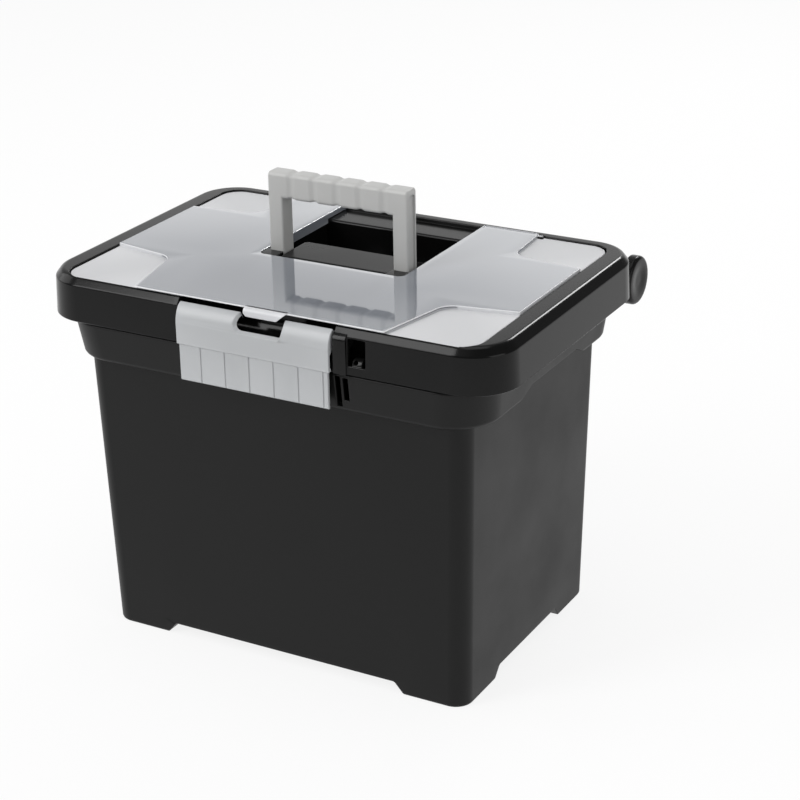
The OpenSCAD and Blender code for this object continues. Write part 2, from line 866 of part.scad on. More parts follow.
module carry_handle() {
    pitch = handle_l / lobe_n;
    side_gap = lobe_gap / 2;
    color("#b4b4b2") translate([0, -centre_y, 0]) {
        both_ends() handle_leg();
        along_x(side_gap - handle_half, handle_half - side_gap) grip_outline(lobe_d);
        for (i = [0 : lobe_n - 1]) {
            first = i == 0 ? 0 : side_gap;
            last = i == lobe_n - 1 ? 0 : side_gap;
            start = i * pitch - handle_half;
            along_x(start + first, start + pitch - last) grip_outline(0);
        }
    }
}

// Cross-section of the latch about its pivot: rolled top, smooth upper part and lower part
module latch_outline() {
    rest = 180 - latch_top_angle;
    inner_r = latch_r - latch_t;
    face = latch_step - latch_r;
    inner = face + latch_t;
    low = -latch_upper - latch_lower;
    edge = latch_t / 2;
    polygon(concat(
        arc(0, 0, latch_r, rest, 180),
        [[-latch_r, -latch_upper], [face, -latch_upper], [face, low + edge], [face + edge, low],
            [inner, low], [inner, latch_t - latch_upper], [-inner_r, latch_t - latch_upper]],
        arc(0, 0, inner_r, 180, rest)));
}

// Cheek at the right end of the latch, which carries its pivot stub
module latch_cheek() {
    mid_r = latch_r - latch_t / 2;
    rod(latch_half - cheek_t, latch_half, latch_y, latch_z, cheek_r);
    along_x(latch_half - cheek_t, latch_half) translate([latch_y, latch_z]) polygon(concat(
        [[0, 0]], arc(0, 0, mid_r, 180 - latch_top_angle, 180), [[-mid_r, -cheek_d], [0, -cheek_r]]));
    rod(latch_half - over, latch_half + latch_pin_l, latch_y, latch_z, latch_pin_r);
}

// Notch under the cover's tab, and grooves down the lower part
module latch_cuts() {
    x0 = notch_x - notch_w / 2;
    x1 = notch_x + notch_w / 2;
    low_z = latch_z - notch_d;
    top_z = plate_z + over;
    groove_y = front_y + latch_step + groove_d;
    along_y(front_y - over, latch_y + latch_r + over)
        polygon(rounded([[x0, low_z], [x1, low_z], [x1, top_z], [x0, top_z]], [notch_r, notch_r, 0, 0]));
    for (i = [0 : groove_n - 1]) {
        x = groove_x + (i - (groove_n - 1) / 2) * groove_pitch;
        block([x - groove_w / 2, front_y - over, latch_low_z - over],
            [x + groove_w / 2, groove_y, latch_z - latch_upper]);
    }
}

module latch() {
    hook_y = front_y + latch_t;
    color("#b8babc") translate([0, -centre_y, 0]) difference() {
        union() {
            along_x(-latch_half, latch_half) translate([latch_y, latch_z]) latch_outline();
            both_ends() latch_cheek();
            block([-hook_half, hook_y, hook_z - hook_h], [hook_half, hook_y + hook_reach, hook_z]);
        }
        latch_cuts();
    }
}

// Cross-section of a hinge pin's head from its axis out, with a dished face
module head_outline() {
    face = pin_head_t - head_dish;
    rim_in = pin_head_r - head_rim;
    polygon([
        [0, 0], [pin_head_r - head_edge, 0], [pin_head_r, head_edge], [pin_head_r, pin_head_t - head_edge],
        [pin_head_r - head_edge, pin_head_t], [rim_in, pin_head_t], [rim_in - head_dish, face], [0, face]]);
}

// Right hinge pin: a shank with a snap bead and a large round head
module hinge_pin() {
    shank_x = lug_x0 - seam_gap;
    color("#303030") translate([0, -centre_y, 0]) {
        rod(shank_x, head_x - pin_head_t / 2, hinge_y, hinge_z, pin_r);
        rod(shank_x - bead_l, shank_x, hinge_y, hinge_z, bead_r);
        translate([head_x - pin_head_t, hinge_y, hinge_z]) rotate([0, 90, 0]) rotate_extrude() head_outline();
    }
}

module hinge_pin_right() {
    hinge_pin();
}

module hinge_pin_left() {
    mirror([1, 0, 0]) hinge_pin();
}

tub();
lid();
organiser_cover();
carry_handle();
latch();
hinge_pin_left();
hinge_pin_right();
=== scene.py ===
"""Looks of a portable file box: black tub and lid, clear organiser cover, grey latch and handle.

Every size below is in millimetres from the lid's centre line, with Z up from the table, and
to_frame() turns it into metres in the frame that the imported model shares.
"""

import logging
import math
from collections.abc import Iterable, Sequence
from dataclasses import dataclass
from enum import Enum
from typing import Any

import bmesh
import bpy
from mathutils import Matrix, Vector

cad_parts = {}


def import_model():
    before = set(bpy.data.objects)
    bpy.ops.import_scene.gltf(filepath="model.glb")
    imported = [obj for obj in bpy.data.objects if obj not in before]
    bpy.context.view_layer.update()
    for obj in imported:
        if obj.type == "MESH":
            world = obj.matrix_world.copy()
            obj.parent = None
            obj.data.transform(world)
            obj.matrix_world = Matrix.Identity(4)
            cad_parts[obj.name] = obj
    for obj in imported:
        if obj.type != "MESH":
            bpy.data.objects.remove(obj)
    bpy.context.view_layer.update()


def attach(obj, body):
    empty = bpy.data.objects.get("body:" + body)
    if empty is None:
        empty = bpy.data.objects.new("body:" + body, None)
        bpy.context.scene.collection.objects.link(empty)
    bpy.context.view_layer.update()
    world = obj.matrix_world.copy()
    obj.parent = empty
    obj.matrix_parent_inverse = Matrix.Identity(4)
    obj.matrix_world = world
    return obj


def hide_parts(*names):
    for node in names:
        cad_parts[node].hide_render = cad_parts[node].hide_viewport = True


LOG = logging.getLogger("file_box")
MM = 0.001
# The frame's origin lies this far behind the lid's centre line, in millimetres
CENTRE_Y = 8.5
# Segments in a rounded corner of a large outline and of a small one
FINE = 20
COARSE = 8
# Overrun of every cut, and overlap of pieces that are joined, in millimetres
OVER = 1.0
SKIN = 0.02
# A bore's radius is this much larger than its pin's
FIT = 0.05
# Farther than any part of the box reaches
FAR = 400.0
WHITE = (1.0, 1.0, 1.0, 1.0)

# Two, three and four numbers: places, spans, and sizes that belong together
Point2 = tuple[float, float]
Point3 = tuple[float, float, float]
Four = tuple[float, float, float, float]
Solid = bpy.types.Object
Tree = bpy.types.NodeTree
Socket = bpy.types.NodeSocket


class Along(Enum):
    """Axis that an outline is drawn out along, after the axes of its own two numbers."""

    X = (1, 2, 0)
    Y = (0, 2, 1)
    Z = (0, 1, 2)


Plane = tuple[Along, float]


class Join(Enum):
    """Ways in which solids are combined."""

    ADD = "UNION"
    CUT = "DIFFERENCE"
    SHARE = "INTERSECT"


@dataclass(frozen=True)
class Ring:
    """One level of a wall: a rounded rectangle at a height."""

    half_x: float
    half_y: float
    corner: float
    height: float

    def points(self) -> list[Point3]:
        """Gives the level's points in order."""
        outline = round_rect(self.half_x, self.half_y, self.corner)
        return ring_at(Along.Z, outline, self.height)


def drawn_in(half: Point2, corner: float, margin: float, height: float) -> Ring:
    """Gives a level of a wall, drawn in by a margin all round."""
    return Ring(half[0] - margin, half[1] - margin, corner - margin, height)


def to_frame(point: Point3) -> Point3:
    """Turns millimetres from the lid's centre line into metres in the shared frame."""
    return (point[0] * MM, (point[1] - CENTRE_Y) * MM, point[2] * MM)


def arc(
    centre: Point2, radius: float, start: float, end: float, steps: int = FINE
) -> list[Point2]:
    """Gives points on an arc.

    Args:
        centre: The arc's centre.
        radius: Its radius.
        start: First angle in degrees.
        end: Last angle in degrees.
        steps: Number of segments.

    Returns:
        The points in order, one more than the segments.
    """
    angles = [math.radians(start + (end - start) * i / steps) for i in range(steps + 1)]
    return [(centre[0] + radius * math.cos(a), centre[1] + radius * math.sin(a)) for a in angles]


def circle(centre: Point2, radius: float, steps: int) -> list[Point2]:
    """Gives a full circle's points, each once."""
    return arc(centre, radius, 0, 360, steps)[:-1]


def quarter(width: float, height: float, steps: int) -> list[Point2]:
    """Gives a quarter round as distances from the corner that it rounds off.

    Args:
        width: How wide the rounding is.
        height: How high it is.
        steps: Number of segments.

    Returns:
        Pairs from the full width and no height to no width and the full height.
    """
    turns = [math.radians(90 * i / steps) for i in range(steps + 1)]
    return [(width * (1 - math.sin(a)), height * (1 - math.cos(a))) for a in turns]


def round_rect(
    half_x: float, half_y: float, radius: float, centre: Point2 = (0.0, 0.0), steps: int = FINE
) -> list[Point2]:
    """Gives the outline of a rectangle with rounded corners.

    Args:
        half_x: Half of its first size.
        half_y: Half of its second size.
        radius: Radius of its corners.
        centre: Its middle.
        steps: Segments in each corner.

    Returns:
        The outline's points, counter-clockwise.
    """
    x, y = half_x - radius, half_y - radius
    points: list[Point2] = []
    for index, (sx, sy) in enumerate([(1, 1), (-1, 1), (-1, -1), (1, -1)]):
        corner = (centre[0] + sx * x, centre[1] + sy * y)
        points += arc(corner, radius, 90 * index, 90 * index + 90, steps)
    return points


def rounded(
    points: Sequence[Point2], radii: Sequence[float], steps: int = COARSE
) -> list[Point2]:
    """Rounds each corner of an outline by its own radius.

    Args:
        points: The outline's corners.
        radii: A radius for each corner, where zero leaves it sharp.
        steps: Segments in each rounded corner.

    Returns:
        The outline with its corners rounded.
    """
    result: list[Point2] = []
    for index, (corner, radius) in enumerate(zip(points, radii)):
        if radius == 0:
            result.append(corner)
            continue
        here = Vector(corner)
        before = (Vector(points[index - 1]) - here).normalized()
        after = (Vector(points[(index + 1) % len(points)]) - here).normalized()
        half = math.acos(max(-1.0, min(1.0, before.dot(after)))) / 2
        middle = here + (before + after).normalized() * radius / math.sin(half)
        first = here + before * radius / math.tan(half) - middle
        last = here + after * radius / math.tan(half) - middle
        start = math.degrees(math.atan2(first.y, first.x))
        sweep = math.degrees(math.atan2(last.y, last.x)) - start
        sweep = (sweep + 180) % 360 - 180
        result += arc((middle.x, middle.y), radius, start, start + sweep, steps)
    return result


def ring_at(along: Along, outline: Iterable[Point2], depth: float) -> list[Point3]:
    """Places an outline in space.

    Args:
        along: The axis that it stands across.
        outline: Its points.
        depth: Where it stands on the axis.

    Returns:
        Its points in space.
    """
    x, y, z = (along.value.index(axis) for axis in range(3))
    numbers = [(a, b, depth) for a, b in outline]
    return [(p[x], p[y], p[z]) for p in numbers]


def add_object(name: str, data: bpy.types.ID) -> bpy.types.Object:
    """Makes an object of its data and links it to the scene."""
    thing = bpy.data.objects.new(name, data)
    bpy.context.scene.collection.objects.link(thing)
    return thing


def new_piece(
    name: str, points: Iterable[Point3], faces: Iterable[Sequence[int]]
) -> Solid:
    """Makes an object from points in millimetres, with its faces turned outward.

    Args:
        name: The object's name.
        points: Its points from the lid's centre line.
        faces: Its faces as indices of points.

    Returns:
        The object, linked to the scene.
    """
    mesh = bpy.data.meshes.new(name)
    mesh.from_pydata([to_frame(p) for p in points], [], list(faces))
    work = bmesh.new()
    work.from_mesh(mesh)
    bmesh.ops.remove_doubles(work, verts=work.verts, dist=0.001 * MM)
    bmesh.ops.recalc_face_normals(work, faces=work.faces)
    work.to_mesh(mesh)
    work.free()
    return add_object(name, mesh)


def loft(name: str, rings: Sequence[Sequence[Point3]]) -> Solid:
    """Joins rings of points by quads and closes both ends.

    Args:
        name: The object's name.
        rings: Rings with equal numbers of points.

    Returns:
        The closed solid.
    """
    count = len(rings[0])
    faces: list[list[int]] = [list(range(count))]
    for level in range(len(rings) - 1):
        low, high = level * count, (level + 1) * count
        faces += [
            [low + i, low + (i + 1) % count, high + (i + 1) % count, high + i]
            for i in range(count)
        ]
    last = (len(rings) - 1) * count
    faces.append(list(range(last, last + count)))
    return new_piece(name, [p for ring in rings for p in ring], faces)


def walls(name: str, rings: Sequence[Ring]) -> Solid:
    """Lofts a solid through rounded rectangles at their heights."""
    return loft(name, [ring.points() for ring in rings])


def prism(
    name: str, along: Along, outline: Sequence[Point2], low: float, high: float
) -> Solid:
    """Draws an outline out along an axis.

    Args:
        name: The object's name.
        along: The axis.
        outline: The outline's points.
        low: Where it starts on the axis.
        high: Where it ends on the axis.

    Returns:
        The closed solid.
    """
    return loft(name, [ring_at(along, outline, depth) for depth in (low, high)])


def block(name: str, low: Point3, high: Point3) -> Solid:
    """Makes a rectangular solid between its lowest and highest corners."""
    outline = [(low[0], low[1]), (high[0], low[1]), (high[0], high[1]), (low[0], high[1])]
    return prism(name, Along.Z, outline, low[2], high[2])


def rod(
    name: str, span: Point2, axis: Point2, radius: float, steps: int = 64
) -> Solid:
    """Makes a rod along X.

    Args:
        name: The object's name.
        span: Its lowest and highest X.
        axis: Y and Z of its axis.
        radius: Its radius.
        steps: Number of sides.

    Returns:
        The closed solid.
    """
    return prism(name, Along.X, circle(axis, radius, steps), *span)


def flip(mesh: bpy.types.Mesh) -> None:
    """Turns a mesh into its mirror image in the plane X = 0, with its faces still outward."""
    mesh.transform(Matrix.Scale(-1, 4, Vector((1, 0, 0))))
    mesh.flip_normals()


def mirrored(piece: Solid) -> Solid:
    """Copies a solid to the other side of the plane X = 0."""
    mesh = piece.data.copy()
    flip(mesh)
    return add_object(piece.name + "_left", mesh)


def both_ends(*pieces: Solid) -> list[Solid]:
    """Gives each solid and its copy at the other end."""
    return [end for piece in pieces for end in (piece, mirrored(piece))]


def settle(piece: Solid) -> None:
    """Applies all of an object's modifiers to its mesh."""
    graph = bpy.context.evaluated_depsgraph_get()
    mesh = bpy.data.meshes.new_from_object(piece.evaluated_get(graph))
    old = piece.data
    piece.modifiers.clear()
    piece.data = mesh
    bpy.data.meshes.remove(old)


def combine(
    base: Solid, others: Sequence[Solid], join: Join
) -> Solid:
    """Adds, cuts or shares other solids with a base, and uses them up.

    Args:
        base: The solid that is kept.
        others: The solids that change it.
        join: How they change it.

    Returns:
        The base.
    """
    for other in others:
        modifier = base.modifiers.new("join", "BOOLEAN")
        modifier.operation = join.value
        modifier.solver = "MANIFOLD"
        modifier.object = other
    settle(base)
    for other in others:
        mesh = other.data
        bpy.data.objects.remove(other, do_unlink=True)
        bpy.data.meshes.remove(mesh)
    return base


def split(work: bmesh.types.BMesh, planes: Iterable[Plane]) -> None:
    """Splits a mesh's faces along planes, so that an edge's rounding shades no far part of a wall.

    Args:
        work: The mesh.
        planes: Each plane's axis, and its place on the axis in millimetres.
    """
    for along, place in planes:
        axis = along.value[2]
        point = tuple(place if i == axis else 0.0 for i in range(3))
        bmesh.ops.bisect_plane(
            work, geom=[*work.verts, *work.edges, *work.faces], dist=0.02 * MM,
            plane_co=to_frame(point), plane_no=[float(i == axis) for i in range(3)],
        )


def soften(
    piece: Solid,
    radius: float,
    segments: int = 2,
    angle: float = 28.0,
    planes: Iterable[Plane] = (),
) -> Solid:
    """Rounds a solid's sharp edges and shades its faces smooth.

    Args:
        piece: The solid.
        radius: Width of the rounding in millimetres.
        segments: Segments across the rounding.
        angle: Edges sharper than this many degrees are rounded.
        planes: Planes that large faces are split along first.

    Returns:
        The same solid.
    """
    work = bmesh.new()
    work.from_mesh(piece.data)
    bmesh.ops.remove_doubles(work, verts=work.verts, dist=0.01 * MM)
    bmesh.ops.dissolve_degenerate(work, edges=work.edges, dist=0.01 * MM)
    bmesh.ops.dissolve_limit(
        work, angle_limit=math.radians(0.3), verts=work.verts, edges=work.edges
    )
    split(work, planes)
    # Triangles keep the rounding of a thin or hollow face from folding the whole face
    bmesh.ops.triangulate(work, faces=[face for face in work.faces if len(face.verts) > 4])
    for face in work.faces:
        face.smooth = True
    work.to_mesh(piece.data)
    work.free()
    bevel = piece.modifiers.new("edges", "BEVEL")
    bevel.width = radius * MM
    bevel.segments = segments
    bevel.limit_method = "ANGLE"
    bevel.angle_limit = math.radians(angle)
    bevel.use_clamp_overlap = False
    settle(piece)
    piece.data.set_sharp_from_angle(angle=math.radians(50))
    normals = piece.modifiers.new("shading", "WEIGHTED_NORMAL")
    normals.keep_sharp = True
    normals.weight = 80
    settle(piece)
    return piece


# Finishes


def linear(code: str) -> Four:
    """Turns an sRGB hex colour into linear red, green, blue and alpha."""
    parts = [int(code[i : i + 2], 16) / 255 for i in (1, 3, 5)]
    red, green, blue = (
        c / 12.92 if c <= 0.04045 else ((c + 0.055) / 1.055) ** 2.4 for c in parts
    )
    return (red, green, blue, 1.0)


def add_node(
    tree: Tree,
    kind: str,
    settings: dict[str | int, Any] | None = None,
    links: dict[str | int, Socket] | None = None,
) -> bpy.types.Node:
    """Adds a node with its settings and links.

    Args:
        tree: The node tree.
        kind: The node's type.
        settings: Values of its sockets by name or number, and of its own properties by name.
        links: Sockets that feed its inputs.

    Returns:
        The node.
    """
    node = tree.nodes.new(kind)
    later: dict[str | int, Any] = {}
    for key, value in (settings or {}).items():
        if isinstance(key, str) and hasattr(node, key):
            setattr(node, key, value)
        else:
            later[key] = value
    for key, value in later.items():
        node.inputs[key].default_value = value
    for key, socket in (links or {}).items():
        tree.links.new(socket, node.inputs[key])
    return node


def fresh_tree(owner: bpy.types.Material | bpy.types.World) -> Tree:
    """Gives a material or a world an empty node tree."""
    owner.use_nodes = True
    owner.node_tree.nodes.clear()
    return owner.node_tree


def mapped(
    tree: Tree,
    value: Socket,
    start: Point2,
    end: Point2 = (0.0, 1.0),
    kind: str = "LINEAR",
) -> Socket:
    """Maps a value from one range to another, and keeps it within the second.

    Args:
        tree: The node tree.
        value: The socket that gives the value.
        start: The range that it comes from.
        end: The range that it is mapped to.
        kind: How it runs between the ends.

    Returns:
        The socket that gives the mapped value.
    """
    settings = {
        "interpolation_type": kind, "From Min": start[0], "From Max": start[1],
        "To Min": end[0], "To Max": end[1],
    }
    return add_node(tree, "ShaderNodeMapRange", settings, {"Value": value}).outputs["Result"]


# Pointiness at which the painted edge highlight begins, and the range of the flow noise that
# changes the gloss
EDGE_HIGHLIGHT_START = 0.51
FLOW = (0.3, 0.7)
COAT_ROUGHNESS = 0.03


@dataclass(frozen=True)
class Plastic:
    """What the plastics share: a colour clouded by flow, a painted highlight of another colour on
    sharp edges, and a grain.

    Real spark texture is about 0.3 mm, drawn as 0.9 mm because a pixel covers 0.7 mm.
    """

    title: str
    colour: str
    cloud: str
    # Colour painted on sharp edges as a highlight
    edge: str
    roughness: float
    spread: float = 0.06
    specular: float = 0.35
    edge_highlight_share: float = 0.35
    edge_highlight_full: float = 0.58
    transmission: float = 0.0
    ior: float = 1.49
    coat: float = 0.0
    coat_ior: float = 1.5
    grain_mm: float = 0.9
    grain_depth_mm: float = 0.03
    flow_mm: float = 70.0
    # Detail and roughness of the noise that draws the grain, and of the one that draws the flow
    grain: Point2 = (2.0, 0.6)
    flow: Point2 = (4.0, 0.55)

    def noise(
        self, tree: Tree, size_mm: float, kind: Point2
    ) -> Socket:
        """Draws noise of a real size on the object.

        Args:
            tree: The node tree.
            size_mm: Size of its largest patches.
            kind: Its detail and roughness.

        Returns:
            The socket that gives its strength.
        """
        coords = add_node(tree, "ShaderNodeTexCoord").outputs["Object"]
        settings = {"Scale": 1 / (size_mm * MM), "Detail": kind[0], "Roughness": kind[1]}
        return add_node(tree, "ShaderNodeTexNoise", settings, {"Vector": coords}).outputs["Fac"]

    def material(self) -> bpy.types.Material:
        """Makes the material, or gives the one made before."""
        made = bpy.data.materials.get(self.title)
        if made:
            return made
        made = bpy.data.materials.new(self.title)
        tree = fresh_tree(made)
        flow = self.noise(tree, self.flow_mm, self.flow)
        base = add_node(
            tree, "ShaderNodeMix",
            {"data_type": "RGBA", 6: linear(self.colour), 7: linear(self.cloud)}, {0: flow},
        )
        # Sharp edges are tinted toward the edge colour by pointiness: a painted highlight
        pointed = add_node(tree, "ShaderNodeNewGeometry").outputs["Pointiness"]
        share = mapped(tree, pointed, (EDGE_HIGHLIGHT_START, self.edge_highlight_full), (0.0, self.edge_highlight_share))
        highlighted = add_node(
            tree, "ShaderNodeMix", {"data_type": "RGBA", 7: linear(self.edge)},
            {0: share, 6: base.outputs[2]},
        )
        gloss = (self.roughness - self.spread, self.roughness + self.spread)
        bump = add_node(
            tree, "ShaderNodeBump", {"Strength": 1.0, "Distance": self.grain_depth_mm * MM},
            {"Height": self.noise(tree, self.grain_mm, self.grain)},
        )
        shader = add_node(
            tree, "ShaderNodeBsdfPrincipled",
            {
                "IOR": self.ior, "Specular IOR Level": self.specular,
                "Transmission Weight": self.transmission, "Coat Weight": self.coat,
                "Coat Roughness": COAT_ROUGHNESS, "Coat IOR": self.coat_ior,
            },
            {
                "Base Color": highlighted.outputs[2], "Roughness": mapped(tree, flow, FLOW, gloss),
                "Normal": bump.outputs["Normal"],
            },
        )
        add_node(tree, "ShaderNodeOutputMaterial", links={"Surface": shader.outputs[0]})
        return made


@dataclass(frozen=True)
class MouldedPolypropylene(Plastic):
    """Injection-moulded polypropylene with the fine spark texture of its mould.

    The texture spreads reflections into a soft sheen, and flow in the mould clouds the sheen a
    little from place to place. Its sharp edges are painted paler as a highlight.
    """


@dataclass(frozen=True)
class ClearPolystyrene(Plastic):
    """Milky clear polystyrene: glossy where the mould was polished, frosted where it was not.

    Light scatters inside the sheet, so it reads as pale blue-grey. Its edges are painted bright as
    a highlight, standing in for the light that travels inside and comes out there. Both its faces
    mirror, so its gloss is about twice that of one face. Its flow marks are broad.
    """

    spread: float = 0.0
    specular: float = 0.5
    edge_highlight_share: float = 0.8
    edge_highlight_full: float = 0.6
    ior: float = 1.59
    coat: float = 1.0
    coat_ior: float = 1.6
    grain_depth_mm: float = 0.0
    flow_mm: float = 110.0
    grain: Point2 = (1.0, 0.5)
    flow: Point2 = (2.0, 0.4)


# The fourth colour of each finish is painted on its sharp edges as a highlight
# The tub's coarse spark texture gives a dull, even black
TUB_BLACK = MouldedPolypropylene(
    "black_polypropylene_satin", "#0c0c0c", "#111111", "#2c2c2c", 0.42, 0.05, 0.23
)
# The lid comes from a smoother mould, so it is glossier and shows the light along its rim
LID_BLACK = MouldedPolypropylene(
    "black_polypropylene_smooth", "#0b0b0b", "#0f0f0f", "#2a2a2a", 0.15, 0.03, 0.18
)
# The platform under the handle is etched, so it scatters light into a flat grey
PLATFORM_BLACK = MouldedPolypropylene(
    "black_polypropylene_etched", "#0f0f0f", "#141414", "#343434", 0.3, 0.04, 0.15, 0.2
)
# Grey pigment makes the same plastic opaque and soft-looking, with a faint sheen
GREY = MouldedPolypropylene(
    "grey_polypropylene_satin", "#b0b0af", "#b7b7b5", "#d0d0ce", 0.38, 0.05, 0.4, 0.4
)
# The latch is the same grey plastic from a smoother mould, and a little cooler
LATCH_GREY = MouldedPolypropylene(
    "grey_polypropylene_smooth", "#a9abad", "#aeb0b2", "#ced0d2", 0.32, 0.05, 0.4, 0.4
)
# The hinge pins come glossy from their polished mould
PIN_BLACK = MouldedPolypropylene(
    "black_polypropylene_pin", "#0c0c0c", "#101010", "#303030", 0.26, 0.05, 0.13
)
# The raised plate is polished, so it mirrors the studio over its smoky grey
COVER_CLEAR = ClearPolystyrene(
    "clear_polystyrene_polished", "#7f858f", "#878d97", "#e4e6ea", 0.05,
    specular=1.0, transmission=0.25, coat_ior=2.4,
)
# The pads are blasted in the mould, so they scatter light into a flat, pale white
COVER_FROSTED = ClearPolystyrene(
    "clear_polystyrene_frosted", "#bebfc1", "#c4c5c7", "#f6f6f8", 0.45,
    transmission=0.1, coat=0.0, grain_depth_mm=0.02,
)
# Pale colour painted on the upright edges and the tab: a painted highlight of light leaving the
# sheet's edges
COVER_PAINTED_GLOW = ClearPolystyrene(
    "clear_polystyrene_painted_edge_glow", "#c2c3c6", "#c8c9cc", "#f6f6f8", 0.4,
    coat=0.0, grain_depth_mm=0.02,
)


def hand_in(
    piece: Solid,
    finish: Plastic,
    body: str,
    slot: str,
    *nodes: str,
) -> Solid:
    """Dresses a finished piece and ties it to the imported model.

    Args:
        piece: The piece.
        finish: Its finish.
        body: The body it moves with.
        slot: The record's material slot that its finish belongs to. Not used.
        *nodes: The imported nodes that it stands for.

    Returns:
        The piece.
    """
    piece.data.materials.clear()
    piece.data.materials.append(finish.material())
    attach(piece, body)
    if nodes:
        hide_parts(*nodes)
    LOG.info("%s: %d faces, %s", piece.name, len(piece.data.polygons), finish.title)
    return piece


# Sub-assemblies


@dataclass
class RearHinge:
    """Two pins with large round heads that join the lid to the tub at its back corners."""

    axis: Point2 = (127.5, 261.0)
    knuckle_r: float = 10.0
    knuckle: Point2 = (160.8, 176.2)
    lug: Point2 = (142.2, 160.2)
    pin_r: float = 4.0
    bead: Point2 = (139.5, 141.9)
    bead_r: float = 5.0
    bead_edge: Point2 = (0.8, 0.3)
    head: Point2 = (176.5, 185.3)
    head_r: float = 18.8
    # Roundings of the head's inner and outer edge
    head_edge: Point2 = (1.0, 3.2)
    head_rim: float = 1.6
    # How deep the face is dished, and the radius of its flat middle
    dish: Point2 = (1.1, 4.0)
    room: float = 0.6
    # Radius of the pin's tip, which can't be a single point
    tip_r: float = 0.02
    soft: float = 0.15

    def profile(self) -> list[Point2]:
        """Gives the pin's outline from its tip out, as pairs of X and radius."""
        (bead_0, bead_1), (tip, back) = self.bead, self.bead_edge
        (head_0, head_1), (inner, outer) = self.head, self.head_edge
        points: list[Point2] = [(bead_0, self.tip_r), (bead_0, self.bead_r - tip)]
        points += arc((bead_0 + tip, self.bead_r - tip), tip, 180, 90, 4)
        points += [(bead_1 - back, self.bead_r), (bead_1, self.bead_r - back)]
        points += [(bead_1, self.pin_r), (head_0, self.pin_r), (head_0, self.head_r - inner)]
        points += arc((head_0 + inner, self.head_r - inner), inner, 180, 90, 4)
        points += arc((head_1 - outer, self.head_r - outer), outer, 90, 0, 8)
        # The face is dished by a long gentle curve
        depth, flat = self.dish
        start = self.head_r - outer - self.head_rim
        for index in range(7):
            sink = depth * (0.5 - 0.5 * math.cos(math.pi * index / 6))
            points.append((head_1 - sink, start - (start - flat) * index / 6))
        return [*points, (head_1 - depth, self.tip_r)]

    def pin(self, name: str, steps: int = 96) -> Solid:
        """Turns the right pin about its axis.

        Args:
            name: The object's name.
            steps: Number of facets round it.

        Returns:
            The pin.
        """
        return loft(name, [
            ring_at(Along.X, circle(self.axis, radius, steps), x) for x, radius in self.profile()
        ])

    def build(self) -> None:
        """Makes, dresses and places both pins."""
        right = self.pin("hinge_pin_head_right")
        left = mirrored(right)
        left.name = left.data.name = "hinge_pin_head_left"
        for piece, node in ((right, "hinge_pin_right"), (left, "hinge_pin_left")):
            soften(piece, self.soft, 1, 40)
            hand_in(piece, PIN_BLACK, "tub", "tub_black", node)


